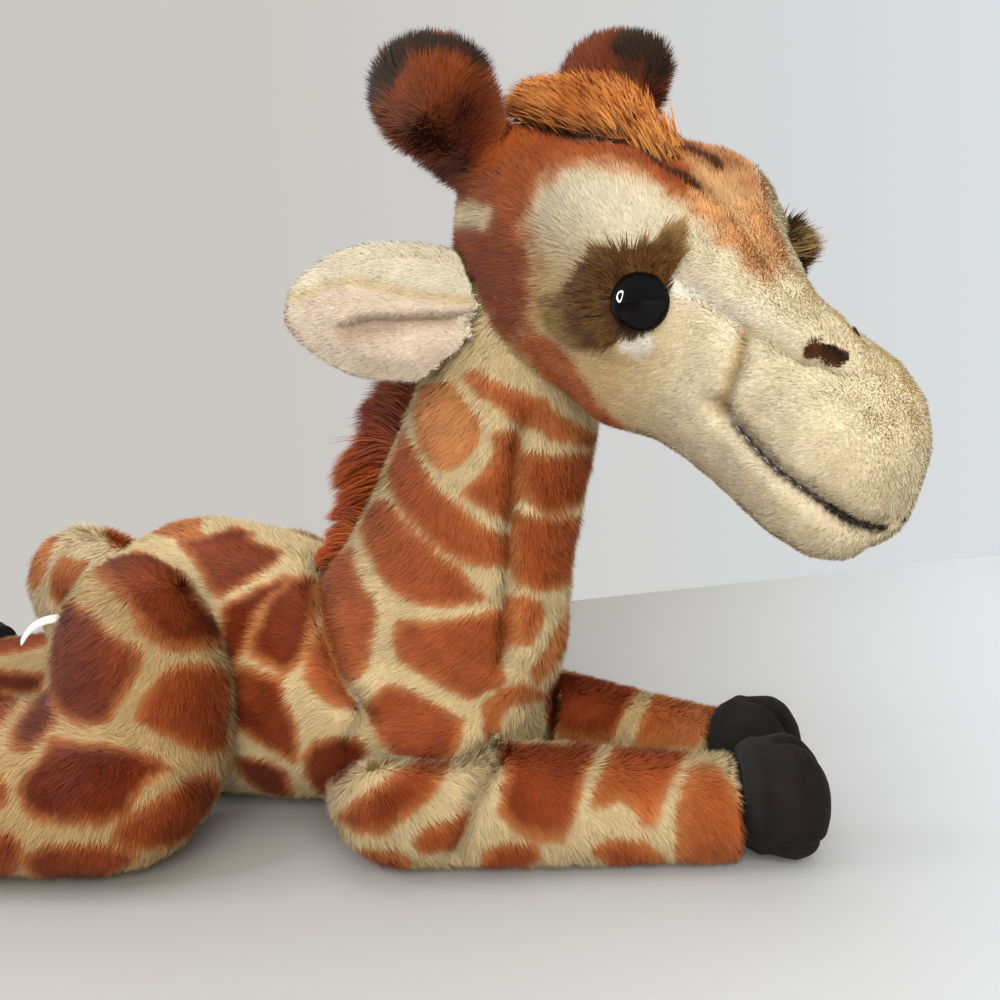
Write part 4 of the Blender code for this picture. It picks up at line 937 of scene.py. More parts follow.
def spot_on(name, pixel):
    """Where a pixel's sight line meets a skin, or passes it closest."""
    line = sight_line(pixel)
    place = skins[name].tree.ray_cast(CAMERA_PLACE, line)[0]
    if place is None:
        far = (Vector(skins[name].points.mean(0)) - CAMERA_PLACE).length
        place = skins[name].tree.find_nearest(CAMERA_PLACE + line * far)[0]
    return np.array([list(place)])


def under_chest(points):
    """How far, and by what share, the near foreleg's points move to lie under the chest."""
    seen, away = pixels_of(points)
    line = np.array(SHOULDER_LINE, float)
    above = (np.interp(seen[:, 0], line[:, 0], line[:, 1]) - seen[:, 1]) * away / FOCAL_PIXELS
    (first, _), (last, _) = line[0], line[-1]
    weight = ease(-0.002, 0.005, above) * ease(first - 8, first + 4, seen[:, 0])
    weight = weight * ease(last, last - 12, seen[:, 0])
    shift = np.zeros_like(points)
    for index in np.flatnonzero(weight > 0):
        way = Vector(points[index]) - CAMERA_PLACE
        chest = skins["trunk"].tree.ray_cast(CAMERA_PLACE, way)[0]
        over = (chest - CAMERA_PLACE).length - way.length if chest is not None else 0.0
        if over > 0:
            shift[index] = np.array(way.normalized()) * (over + SHOULDER_COVER) * weight[index]
    return shift, weight


def tuck_shoulder():
    """Lays the chest over the top of the near foreleg."""
    skin = skins["foreleg_right"]
    shift, weight = under_chest(skin.points)
    rim = ease(0.0, 0.2, weight) * ease(1.0, 0.9, weight)
    skin.write(relaxed(skin.points + shift, skin.triangles, rim, 5))
    skin.tucked = weight
    # Painted shade on the foreleg where it runs under the chest.
    skin.shade *= 1 - 0.35 * ease(0.0, 0.4, weight)


def fold(name, paths, swells):
    """Draws creases and swellings read on the photograph into a skin and its twin."""
    plans = {name: [], twin_of(name): []}
    read = [(hits_of(name, pixels), reach, height) for pixels, reach, height in paths]
    read += [(spot_on(name, pixel), reach, height) for pixel, reach, height in swells]
    for path, reach, height in read:
        plans[name].append((path, reach, height))
        plans[twin_of(name)].append((on_twin(name, path), reach, height))
    for owner, plan in plans.items():
        skin = skins[owner]
        rise = np.zeros(len(skin.points))
        for path, reach, height in plan:
            if len(path) == 1:
                near = np.linalg.norm(skin.points - path[0], axis=1)
            else:
                near = path_distance(skin.points, path)
                # Painted shade along the crease.
                skin.shade *= 1 - CREASE_SHADE * hill(near, reach)
            rise += height * hill(near, reach)
        skin.swell(rise)


def shape_trunk():
    """Closes the neck's foot into the chest, then draws the neck crease and the throat's gusset seam."""
    skin = skins["trunk"]
    rim = np.zeros(len(skin.points))
    for node in ("torso", "neck"):
        tree = mesh_tree(NODES[node])
        far = np.array([(tree.find_nearest(Vector(p))[3] or 1.0) for p in skin.points])
        rim = np.maximum(rim, far)
    weight = ease(FOOT_REACH + 0.004, FOOT_REACH - 0.004, rim)
    skin.write(relaxed(skin.points, skin.triangles, weight, 30))
    fold("trunk", ((NECK_CREASE, 0.0042, -0.0060), (THROAT_SEAM, 0.0036, -0.0034)), CHEST_SWELLS)
    tuck_shoulder()
    fold("foreleg_right", ((LEG_FOLD, 0.0036, -0.0042),), LEG_SWELLS)


def path_distance(points, path):
    """How far points are from a line through the path's points."""
    nearest = np.full(len(points), 1e9)
    for a, b in zip(path, path[1:]):
        side = b - a
        t = np.clip(((points - a) @ side) / max(side @ side, 1e-12), 0, 1)
        nearest = np.minimum(nearest, np.linalg.norm(points - a - t[:, None] * side, axis=1))
    return nearest


shape_trunk()
paint_patches()

NEIGHBOURS = {name: ("trunk",) for name in COATED[1:]}
NEIGHBOURS["trunk"] = (*COATED[2:], "tail", "head")
STRANDS = dict(zip(COATED, (330000, 20000, 80000, 60000, 150000, 110000)))
NAP = {
    "trunk": Vector((-1.0, 0.0, -0.5)),
    "tail": Vector((-0.3, 0.0, -1.0)),
    "foreleg": RIGHT * 0.6 - UP * 0.8,
    "hindleg": -RIGHT * 0.4 - UP * 0.9,
}
PILE_SHARE = 1.0
PILE_LENGTH = 0.0052
PILE_WIDTH = 0.00055  # a lock of fibres; one fibre is too fine to show
PILE_LIFT = 0.62


def long_hairs(count):
    return int(count * max(PILE_SHARE, 0.5))


def planters(skin, parts, seed, strands):
    """A planter for each named part of a skin, with its share of the strands."""
    whole = sum(skin.load(part) for part in parts.values())
    for number, (name, part) in enumerate(parts.items()):
        share = skin.load(part) / whole
        yield name, Planter(skin, seed + number).roots(int(strands * share * PILE_SHARE), part)


for order, name in enumerate(COATED):
    skin = skins[name]
    colour_skin(skin, coat_colour(name, skin.patch, skin.tone, skin.points) * skin.shade[:, None])
    weight = (1 - ease(0.0015, 0.0055, buried(skin, NEIGHBOURS[name]))) * (1 - ease(0.15, 0.5, skin.tucked))
    on_table = (skin.points[:, 2] < 0.004) & (skin.normals[:, 2] < -0.6)
    weight *= np.where(on_table, 0.35, 1.0)
    parts = {f"{name}_pile": weight}
    if name == "trunk":
        fore = ease(0.030, 0.034, skin.points[:, 0])
        parts = {"chest_pile": weight * fore, "back_pile": weight * (1 - fore)}
    for part_name, planter in planters(skin, parts, 100 + 10 * order, STRANDS[name]):
        colours = coat_colour(name, planter.blend(skin.patch), planter.blend(skin.tone), planter.places)
        colours = colours * planter.blend(skin.shade)[:, None]
        nap = np.array(NAP[name.split("_")[0]])
        if name == "trunk":
            up_neck = ease(0.0, 0.04, (planter.places - np.array(NECK_PIVOT)) @ np.array(NECK_AXIS))
            nap = mix(nap, np.array([-0.35, 0.0, -1.0]), up_neck)
        elif name.startswith("hindleg"):
            nap = mix(nap, np.array(-RIGHT), ease(0.5, 0.9, planter.outward[:, 2]))
        elif name.startswith("foreleg"):
            nap = mix(nap, np.array(-UP), ease(0.2, 0.6, -planter.outward @ np.array(RIGHT)))
        plant(part_name, planter, colours, PILE_LENGTH, PILE_WIDTH, PILE_LIFT, nap, skin.body)
    settle(skin.piece, skin.body)

# Head
TEAR_CREASE = traced("668,268 700,290 745,320 785,344 806,352")
CHEEK_SEAM = traced("746,332 739,360 730,385 722,408")
MOUTH_LINE = traced("714,406 735,425 757,450 780,473 805,490 830,507 855,522 880,528 898,525")
NOSTRIL_LINE = traced("811,349 825,353 839,359")
HEAD_GRABS = (((800, 552), 0.021, RIGHT * 0.0120 + UP * 0.0035),
    ((500, 335), 0.019, -RIGHT * 0.0105 - UP * 0.0040))
FAR_HORN_GRAB = ((625, 58), 0.017, RIGHT * 0.0065 + UP * 0.0040)
EYE_RIM = {"radius": 0.0125, "reach": 0.0045, "height": 0.0022}
ONE_SIDE_ONLY = ("mouth", "nostril")  # creases that the far side has only where the camera can't see it
# Each swelling or dent: a pixel of the photograph, its reach across and its rise.
HEAD_SWELLS = {
    "brow": ((606, 205), 0.021, 0.0075),
    "jaw_back": ((610, 408), 0.014, 0.0045),
    "bridge": ((735, 262), 0.013, 0.0022),
    "brow_front": ((650, 215), 0.014, 0.0020),
    "cheek": ((665, 395), 0.022, 0.0016),
    "upper_lip": ((850, 455), 0.024, 0.0030),
    "nostril_rim": ((818, 330), 0.009, 0.0016),
    "nose_end": ((915, 440), 0.022, 0.0006),
    "chin": ((850, 545), 0.013, 0.0020),
    "eye_socket": ((632, 303), 0.013, -0.0006),
    "nose_top": ((895, 372), 0.016, -0.0040),
    "horn_top": ((437, 32), 0.010, -0.0030),
    "under_jaw": ((742, 518), 0.014, -0.0030),
    "temple": ((545, 290), 0.011, -0.0014),
}
BROW_SEAM = traced("522,128 545,135 574,143 605,147 632,152 656,164 676,176 694,190")
BROW_KNOTS = traced("530,130 662,168 686,184")
HEAD_CREASES = {
    "brow_seam": (BROW_SEAM, 0.0030, -0.0024),
    "tear": (TEAR_CREASE, 0.0034, -0.0034),
    "cheek_seam": (CHEEK_SEAM, 0.0026, -0.0026),
    "mouth": (MOUTH_LINE, 0.0030, -0.0042),
    "nostril": (NOSTRIL_LINE, 0.0034, -0.0032),
}


def on_head(pixel):
    """The point of the head's skin that shows at a pixel, in the head's axes."""
    return in_head(spot_on("head", pixel))[0]


def head_path(pixels):
    """A path read on the near side of the face, in the head's axes."""
    path = in_head(hits_of("head", pixels))
    path[:, 1] = -np.abs(path[:, 1])
    return path


def near_side(points):
    """Points in the head's axes with the far side folded over the near one."""
    local = in_head(points)
    local[:, 1] = -np.abs(local[:, 1])
    return local


def folded(place):
    return np.array([place[0], -abs(place[1]), place[2]])


def unseen_far(points, outward):
    """Leaves out the points of the far side that the photograph's camera would see."""
    towards = np.einsum("ij,ij->i", outward, unit(np.array(CAMERA_PLACE) - points))
    return 1 - ease(-0.002, 0.002, in_head(points)[:, 1]) * ease(-0.05, 0.05, towards)


def brow_distance(points):
    """How far points of the head are from the seam over the brow, which the far side has as well."""
    local, path = in_head(points), in_head(hits_of("head", BROW_SEAM))
    twin = path[path[:, 1] < -0.010] * [1, -1, 1]
    near = path_distance(local, path)
    return np.minimum(near, path_distance(local, twin)) if len(twin) > 1 else near


def shape_head():
    skin = skins["head"]
    local = near_side(skin.points)
    shift = np.zeros_like(skin.points)
    for pixel, reach, way in HEAD_GRABS:
        way = np.array(way) @ HEAD_AXES * [1, 0, 1]
        away = np.linalg.norm(local - folded(on_head(pixel)), axis=1)
        shift += hill(away, reach)[:, None] * (way @ HEAD_AXES.T)
    pixel, reach, way = FAR_HORN_GRAB
    away = np.linalg.norm(skin.points - spot_on("head", pixel)[0], axis=1)
    shift += hill(away, reach)[:, None] * np.array(way)
    skin.write(skin.points + shift)
    local = near_side(skin.points)
    rise = np.zeros(len(local))
    for pixel, reach, height in HEAD_SWELLS.values():
        away = np.linalg.norm(local - folded(on_head(pixel)), axis=1)
        rise += height * hill(away, reach)
    away = np.linalg.norm(local - folded(on_head(EYE_CENTRE)), axis=1)
    rise += EYE_RIM["height"] * hill(away - EYE_RIM["radius"], EYE_RIM["reach"])
    whole = unseen_far(skin.points, skin.normals)
    for name, (pixels, reach, height) in HEAD_CREASES.items():
        near = brow_distance(skin.points) if name == "brow_seam" else path_distance(local, head_path(pixels))
        if name in ONE_SIDE_ONLY:
            near = near + 1.0 * (1 - whole)
        rise += height * hill(near, reach)
        # Painted shade along each crease of the head.
        skin.shade *= 1 - 0.30 * hill(near, 0.5 * reach)
    skin.swell(rise)


# Markings of the head: outline in pixels, colour, softness of the edge.
HEAD_MARKS = {
    "crown": ("430,222 438,230 450,255 465,275 480,300 499,326 513,336 526,332 527,300 530,282 536,262 531,246 "
        "527,228 531,205 541,187 560,171 585,165 620,168 650,178 676,196 700,214 724,234 752,256 774,270 "
        "810,262 840,150 800,40 380,-40 340,150", "#A04E20", 0.0034),
    # The two glow marks paint a lighter orange over the brow: partly cream in the cloth, partly painted light
    # on its fuzzy edge.
    "forehead_glow": ("686,204 706,222 736,247 772,276 806,266 776,222 734,186 706,176", "#D8A46C", 0.0050),
    "temple_cream": ("446,206 482,203 496,214 492,230 470,228 444,232", "#E2CFA8", 0.0022),
    "behind_eye": ("452,252 475,232 505,240 522,262 524,285 522,318 535,345 520,345 500,326 484,306 "
        "466,278", "#94451A", 0.0045),
    "cheek_stripe": ("524,332 545,334 561,342 573,360 586,380 602,402 618,421 636,439 646,450 625,448 605,436 "
        "585,421 566,401 555,386 543,372 529,358 520,345", "#BE6427", 0.0018),
    "jaw_fleck": ("476,345 500,362 497,371 480,362", "#B56F45", 0.0020),
    "tear_duct": ("618,336 632,331 650,336 655,350 640,358 624,350", "#F4ECDA", 0.0014),
    "tear_tuft": ("664,277 680,281 705,297 695,304 672,293", "#F4ECDA", 0.0014),
    "far_glow": ("690,148 716,155 744,170 752,195 750,222 768,250 778,274 752,262 722,240 700,216 "
        "684,190", "#D2A572", 0.0055),
}
EYE_FUR = ("546,297 575,291 588,268 601,248 616,254 636,252 655,243 672,226 680,240 674,265 668,285 664,304 "
    "655,322 642,331 622,334 612,344 590,345 570,338 558,326 553,310")
EYE_CENTRE = (632, 303)
TEAR_LINE = traced("655,275 672,276 700,296 742,325")
FAR_LASH_ROW = 253
EYE_BROWN = linear("#5A3A1E")
EYE_TIP = linear("#A08250")
TEAR_RIDGE_HIGHLIGHT = linear("#F0E6D0")
FACE = linear("#E1D5B7")
JAW = linear("#DBB97C")
SEAM_SHADOW = linear("#C9A873")
CROWN_EDGE = linear("#C98A50")
NAPE_RUST = linear("#A05530")
NOSTRIL_DARK = linear("#3E281B")
MOUTH_DARK = linear("#3A2A20")
LIP_DARK = linear("#2B1F18")
BROW_SHADOW = linear("#7A3820")
BROW_DARK = linear("#3A1E14")


def mark_depth(points, outward, pixels, sides="both"):
    """How deep points of the head are inside a marking, on both sides of the face or on the far one alone."""
    local, facing = in_head(points), np.asarray(outward) @ HEAD_AXES
    kept = local[:, 1] > -0.003
    if sides != "far":
        over = local[:, 1] > 0
        local[over, 1] *= -1
        facing[over, 1] *= -1
        kept[:] = True
    world = from_head(local)
    seen, away = pixels_of(world)
    depth = signed_depth(seen, np.array(traced(pixels), float)) * away / FOCAL_PIXELS
    towards = np.einsum("ij,ij->i", facing @ HEAD_AXES.T, unit(np.array(CAMERA_PLACE) - world))
    return np.where(kept & (towards > -0.12), depth, -1.0)


def eye_fur_depth(points, outward):
    """How deep points are inside the dark fur of an eye. The far one's top isn't on the side that shows."""
    low = ease(FAR_LASH_ROW - 12, FAR_LASH_ROW - 18, pixels_of(points)[0][:, 1])
    return mark_depth(points, outward, EYE_FUR) - 0.01 * low * (1 - unseen_far(points, outward))


def head_colours(points, outward):
    local = near_side(points)
    shade = ease(-0.006, 0.042, local[:, 2] - 0.1 * local[:, 0] + 0.003 * cloud(points, 0.02, 31))
    colours = mix(JAW, FACE, shade)
    colours = mix(colours, FACE, 0.8 * ease(0.045, 0.080, local[:, 0]))
    # Painted shade: the brow and crown made darker towards the top of the head.
    colours = colours * (1 - 0.14 * ease(0.008, 0.028, local[:, 2]) * ease(0.075, 0.050, local[:, 0]))[:, None]
    # Painted highlight: near-white along the ridge beside the tear crease.
    tear = path_distance(local, head_path(TEAR_LINE))
    colours = mix(colours, TEAR_RIDGE_HIGHLIGHT, 0.7 * hill(tear, 0.005))
    seam = path_distance(local, head_path(CHEEK_SEAM))
    colours = mix(colours, SEAM_SHADOW, 0.8 * hill(seam, 0.0022))
    for name, (pixels, colour, soft) in HEAD_MARKS.items():
        depth = mark_depth(points, outward, pixels, "far" if name.startswith("far") else "both")
        depth = depth + soft * 0.6 * cloud(points, 0.004, 32)
        mottled = 1 + 0.22 * cloud(points, 0.009, 33) + 0.18 * cloud(points, 0.0035, 36)
        tinted = linear(colour) * mottled[:, None]
        if name == "crown":
            colours = mix(colours, CROWN_EDGE, 0.85 * ease(-soft - 0.0025, soft * 0.5, depth))
        colours = mix(colours, tinted, ease(-soft, soft, depth))
    back = ease(0.034, 0.044, -local[:, 0] + 0.004 * cloud(points, 0.012, 34)) * ease(-0.02, 0.01, local[:, 2])
    colours = mix(colours, NAPE_RUST, 0.9 * back)
    depth = eye_fur_depth(points, outward)
    colours = mix(colours, EYE_BROWN, ease(-0.0012, 0.001, depth))
    whole = unseen_far(points, outward)
    nostril = path_distance(local, head_path(NOSTRIL_LINE))
    colours = mix(colours, NOSTRIL_DARK, ease(0.0016, 0.0006, nostril) * whole)
    mouth = path_distance(local, head_path(MOUTH_LINE[1:]))
    colours = mix(colours, MOUTH_DARK, 0.85 * ease(0.0018, 0.0006, mouth) * whole)
    lip = path_distance(local, head_path(MOUTH_LINE[5:]))
    colours = mix(colours, LIP_DARK, ease(0.0024, 0.0010, lip) * whole)
    brow_seam = brow_distance(points)
    for knot in BROW_KNOTS:
        brow_seam = brow_seam - 0.0020 * hill(np.linalg.norm(in_head(points) - on_head(knot), axis=1), 0.0045)
    colours = mix(colours, BROW_SHADOW, 0.55 * hill(brow_seam, 0.007))
    colours = mix(colours, BROW_DARK, 0.9 * ease(0.0032, 0.0012, brow_seam + 0.0006 * cloud(points, 0.004, 35)))
    for side in ("right", "left"):
        colours = mix(colours, horn_colours(side, points), horn_share(side, points))
    return colours


HORN_TREES = {side: mesh_tree(NODES[f"horn_{side}"]) for side in ("right", "left")}
HEAD_TREE = mesh_tree(NODES["head"])
HORN_REACH = 0.006


def horn_share(side, points):
    """How far a point of the head's skin belongs to a horn."""
    low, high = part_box(f"horn_{side}")
    close = ((points > np.array(low) - HORN_REACH) & (points < np.array(high) + HORN_REACH)).all(1)
    share = np.zeros(len(points))
    for index in np.flatnonzero(close):
        place = Vector(points[index])
        to_horn = HORN_TREES[side].find_nearest(place)[3]
        to_head = HEAD_TREE.find_nearest(place)[3]
        share[index] = 0 if to_horn > HORN_REACH else to_head
    return ease(0.002, 0.008, share)


# The far horn's rust is a darker copy of the near horn's: painted shade.
HORN_RUST_AND_SHADE = {"right": linear("#85401F"), "left": linear("#7A3A1F")}
HORN_ORANGE = linear("#A85A2C")
HORN_DARK = linear("#481E14")
HORN_TIP = linear("#33251C")
HORN_TIP_LINES = {
    "right": traced("380,84 388,62 408,46 430,38 448,42 468,50"),
    "left": traced("570,56 591,42 614,35 637,43 656,58 668,76 671,98"),
}
HORN_ORANGE_LINE = traced("388,110 400,140 418,162 436,182")
HORN_DARK_LINE = traced("468,108 466,136 462,165 458,190")


def horn_colours(side, points):
    """Rust plush, almost black at the tip and dark down the middle of the front."""
    mottled = 1 + 0.22 * cloud(points, 0.006, 41) + 0.12 * cloud(points, 0.0025, 43)
    colours = HORN_RUST_AND_SHADE[side] * mottled[:, None]
    local = in_head(points)
    rim = path_distance(near_side(points), head_path(HORN_ORANGE_LINE))
    colours = mix(colours, HORN_ORANGE, 0.8 * ease(0.008, 0.002, rim))
    middle = path_distance(near_side(points), head_path(HORN_DARK_LINE))
    colours = mix(colours, HORN_DARK, 0.85 * hill(middle, 0.008))
    edge = path_distance(local, [on_head(pixel) for pixel in HORN_TIP_LINES[side]])
    return mix(colours, HORN_TIP, ease(0.0095, 0.0045, edge + 0.0025 * cloud(points, 0.005, 42)))


EAR_CREAM = linear("#E0D5BB")
EAR_LINING = linear("#E0CDB6")
EAR_FOLD_SHADE = linear("#D3BD8E")
EAR_SLIT_SHADE = linear("#673A22")
EAR_HOLLOW_SHADE = linear("#C29C7C")
EAR_SLIT_LINE = traced("346,326 360,320 375,318 400,318 440,317 470,315")
EAR_FOLD_LINE = traced("302,297 325,286 350,280 375,285 400,292 430,296 462,300")
EAR_CORNERS = (((292, 284), 0.007, 0.0016), ((294, 322), 0.007, 0.0014))


def lay_ear_lines(side):
    """Lays the lines read on the near ear's lining on either ear."""
    near = skins["ear_right"]
    skin = skins[f"ear_{side}"]
    hits = [near.tree.ray_cast(CAMERA_PLACE, sight_line(pixel)) for pixel in EAR_SLIT_LINE]
    facing, down = np.mean([list(hit[1]) for hit in hits], axis=0), -np.array(UP)
    flip = np.diag([1.0, -1.0, 1.0]) if side == "left" else np.eye(3)
    turn = HEAD_AXES @ flip @ HEAD_AXES.T
    skin.facing, skin.down = unit(turn @ facing), unit(turn @ down)
    laid = []
    read = [hits_of("ear_right", EAR_SLIT_LINE), hits_of("ear_right", EAR_FOLD_LINE)]
    read += [spot_on("ear_right", corner) for corner, _, _ in EAR_CORNERS]
    for places in read:
        places = from_head(in_head(places) @ flip)
        laid.append(np.array([list(skin.tree.find_nearest(Vector(p))[0]) for p in places]))
    skin.slit, skin.fold, skin.corners = laid[0], laid[1], [path[0] for path in laid[2:]]


def slit_place(skin, points):
    """How far points of an ear are below its slit, and how near the slit's open end they are."""
    gap = np.linalg.norm(points[:, None] - skin.slit[None], axis=2)
    nearest = gap.argmin(1)
    below = (points - skin.slit[nearest]) @ skin.down
    along = nearest / (len(skin.slit) - 1)
    ends = np.linalg.norm(points - skin.slit[nearest] - below[:, None] * skin.down, axis=1)
    return below, along, ends


def hollow_share(below, lower, upper):
    """How near a line points are, with one reach below it and another above."""
    return np.where(below > 0, hill(below, lower), hill(below, upper))


def shape_ear(side):
    """Rolls the upper rim over and presses the hollow of the ear in below it."""
    skin = skins[f"ear_{side}"]
    lay_ear_lines(side)
    facing = skin.facing
    skin.write(relaxed(skin.points, skin.triangles, ease(0.35, 0.7, skin.normals @ facing), 60))
    inner = skin.inner = ease(0.1, 0.5, skin.normals @ facing)
    below, along, ends = slit_place(skin, skin.points)
    wide = 0.0075 - 0.0035 * ease(0.2, 0.6, along)
    hollow = hollow_share(below, wide, 0.0014) * hill(ends, 0.0045)
    fold = path_distance(skin.points, skin.fold)
    rise = inner * (-0.0042 * hollow - 0.0008 * hill(fold, 0.0030))
    for corner, (_, reach, height) in zip(skin.corners, EAR_CORNERS):
        rise += height * hill(np.linalg.norm(skin.points - corner, axis=1), reach)
    skin.swell(rise)


def ear_colours(side, points, inner):
    skin = skins[f"ear_{side}"]
    colours = np.tile(EAR_CREAM, (len(points), 1)) * (1 + 0.04 * cloud(points, 0.012, 51))[:, None]
    below, along, ends = slit_place(skin, points)
    nearest = np.linalg.norm(points[:, None] - skin.fold[None], axis=2).argmin(1)
    fold = (points - skin.fold[nearest]) @ skin.down
    colours = mix(colours, EAR_LINING, inner * ease(-0.001, 0.002, fold))
    # Painted shade along the ear's fold.
    colours = mix(colours, EAR_FOLD_SHADE, 0.75 * inner * hill(np.maximum(np.abs(fold) - 0.0004, 0), 0.0016))
    # Painted shade in the hollow under the slit: brownish pink, then dark brown at the slit itself.
    near = hill(ends, 0.004) * inner
    hollow_shade = hollow_share(below, 0.0075 - 0.0050 * ease(0.1, 0.7, along), 0.0007)
    colours = mix(colours, EAR_HOLLOW_SHADE, 0.9 * near * hollow_shade)
    dark = hollow_share(below, 0.0058 - 0.0047 * ease(0.1, 0.55, along), 0.0007)
    return mix(colours, EAR_SLIT_SHADE, 0.95 * near * dark)


shape_head()
for side in ("right", "left"):
    shape_ear(side)

HEAD_STRANDS = {"head": 270000, "ear": 30000}
HEAD_PILE_WIDTH = 0.00052
MUZZLE_DENSER = 1.2
for order, name in enumerate(("head", "ear_right", "ear_left")):
    skin = skins[name]
    kind, _, side = name.partition("_")
    local = near_side(skin.points)
    if kind == "head":
        colours = head_colours(skin.points, skin.normals)
        lip = path_distance(local, head_path(MOUTH_LINE[1:]))
        weight = (1 - ease(0.005, 0.009, buried(skin, ("trunk",)))) * ease(0.0006, 0.0014, lip)
        weight = weight * (1 + MUZZLE_DENSER * ease(0.035, 0.065, local[:, 0]))
        fore = ease(-0.001, 0.001, local[:, 0])
        parts = {"face_pile": weight * fore, "crown_pile": weight * (1 - fore)}
    else:
        colours = ear_colours(side, skin.points, skin.inner)
        parts = {f"{name}_pile": 1 - ease(0.003, 0.006, buried(skin, ("head",)))}
    colour_skin(skin, colours * skin.shade[:, None], 0.9)
    for part_name, planter in planters(skin, parts, 200 + 10 * order, HEAD_STRANDS[kind]):
        places = planter.places
        if kind == "head":
            root_colours = head_colours(places, planter.outward) * planter.blend(skin.shade)[:, None]
            local = near_side(places)
            horn = np.maximum(horn_share("right", places), horn_share("left", places))
            brow = ease(0.012, 0.03, local[:, 2]) * ease(0.08, 0.05, local[:, 0])
            way = np.stack([-1 + 0.3 * brow, np.zeros(len(local)), -0.35 + 0.7 * brow], 1)
            tousled = np.array(UP) + 0.8 * np.stack([cloud(places, 0.007, seed) for seed in (44, 45, 46)], 1)
            nap = mix(way @ HEAD_AXES.T, tousled, horn)
            length = 0.0023 + 0.0027 * ease(0.05, -0.015, local[:, 0]) + 0.0012 * horn
            length = length * (1 - 0.08 * ease(0.030, 0.070, local[:, 0]))
            lift = 0.85 + 0.1 * horn - 0.16 * ease(0.035, 0.070, local[:, 0])
            nap = mix(nap, np.array(-RIGHT - UP * 0.25), ease(0.030, 0.070, local[:, 0]))
            nap = mix(nap, np.array(-UP), ease(0.4, 0.8, planter.outward @ np.array(RIGHT)) * (1 - horn))
            shade, spread = (0.84, 1.05), 0.14 + 0.26 * horn
            if part_name == "face_pile":
                shade, spread = (0.93, 1.02), 0.07
        else:
            root_colours = ear_colours(side, places, planter.blend(skin.inner))
            nap = skin.points.mean(0) - np.array(HEAD_CENTRE)
            length, lift, shade, spread = 0.0024, 0.8, (0.86, 1.03), 0.1
        plant(part_name, planter, root_colours, length, HEAD_PILE_WIDTH, lift, nap, skin.body, shade, spread)
    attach(skin.piece, skin.body)


# Long locks
ROOT_SHADE = 0.7


def locks(name, roots, ways, lengths, width, bend, colours, body, seed, outward, clump=0.6, clumps=0.006,
        tip=1.35, steps=3):
    """Long tapering strands of several leaves each, gathered into pointed clumps."""
    random = np.random.default_rng(seed)
    count = len(roots)
    cells = np.round(roots / clumps).astype(np.int64)
    key = (cells * [73856093, 19349663, 83492791]).sum(1)
    _, group = np.unique(key, return_inverse=True)
    size = np.bincount(group)
    ends = roots + ways * lengths[:, None]
    middle = np.stack([np.bincount(group, ends[:, k]) / size for k in range(3)], 1)[group]
    pull = (middle - ends) * clump
    t = np.linspace(0, 1, steps + 1)
    spine = roots[:, None] + ways[:, None] * (lengths[:, None] * t)[..., None]
    pulled = pull[:, None] * (t**1.5)[None, :, None]
    spine += pulled + np.array(bend)[None, None] * (t**2)[None, :, None] * lengths[:, None, None]
    side = unit(np.cross(ways, random.standard_normal((count, 3))))
    slim = (width * (0.7 + 0.6 * random.random(count)))[:, None] * (1 - t**1.6)[None, :] / 2
    left = spine - side[:, None] * slim[..., None]
    right = spine + side[:, None] * slim[..., None]
    tris, shades = [], []
    tint = colours * (0.86 + 0.28 * random.random(count))[:, None]
    # Each strand is painted darker at the root and lighter towards the tip: painted shade deep in the lock,
    # painted light at its tip.
    tone = [tint * (ROOT_SHADE + (tip - ROOT_SHADE) * value) for value in t]
    for k in range(steps):
        tris.append(np.stack([left[:, k], right[:, k], left[:, k + 1]], 1))
        shades.append(np.stack([tone[k], tone[k], tone[k + 1]], 1))
        if k < steps - 1:
            tris.append(np.stack([right[:, k], right[:, k + 1], left[:, k + 1]], 1))
            shades.append(np.stack([tone[k], tone[k + 1], tone[k + 1]], 1))
    corners, shades = np.concatenate(tris), np.concatenate(shades)
    lit = unit(np.tile(outward, (len(tris), 1)) + 0.25 * random.standard_normal((len(corners), 3)))
    turned = turn_out(corners, lit)
    shades[turned] = shades[turned][:, [1, 0, 2]]
    return leaf_mesh(name, corners, shades, np.repeat(lit[:, None], 3, 1), body)


def core(name, node, body, inset, colour):
    """The stuffed core under long pile."""
    skin = stuffed_skin(name, body, [node], 0.0016, 6, inset)
    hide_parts(node)
    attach(skin.piece, body)
    colour_skin(skin, linear(colour), 0.6)
    return skin


MANE_TOP, MANE_FOOT = 380, 562  # rows of the photograph
MANE_LEFT, MANE_RIGHT = 285, 470  # and columns
MANE_HALF = 0.0080
MANE_LENGTH, MANE_FOOT_SHORTER = 0.0330, 0.0110
MANE_HAIRS = 25000
MANE_DARK, MANE_LIGHT = linear("#742407"), linear("#BC561C")


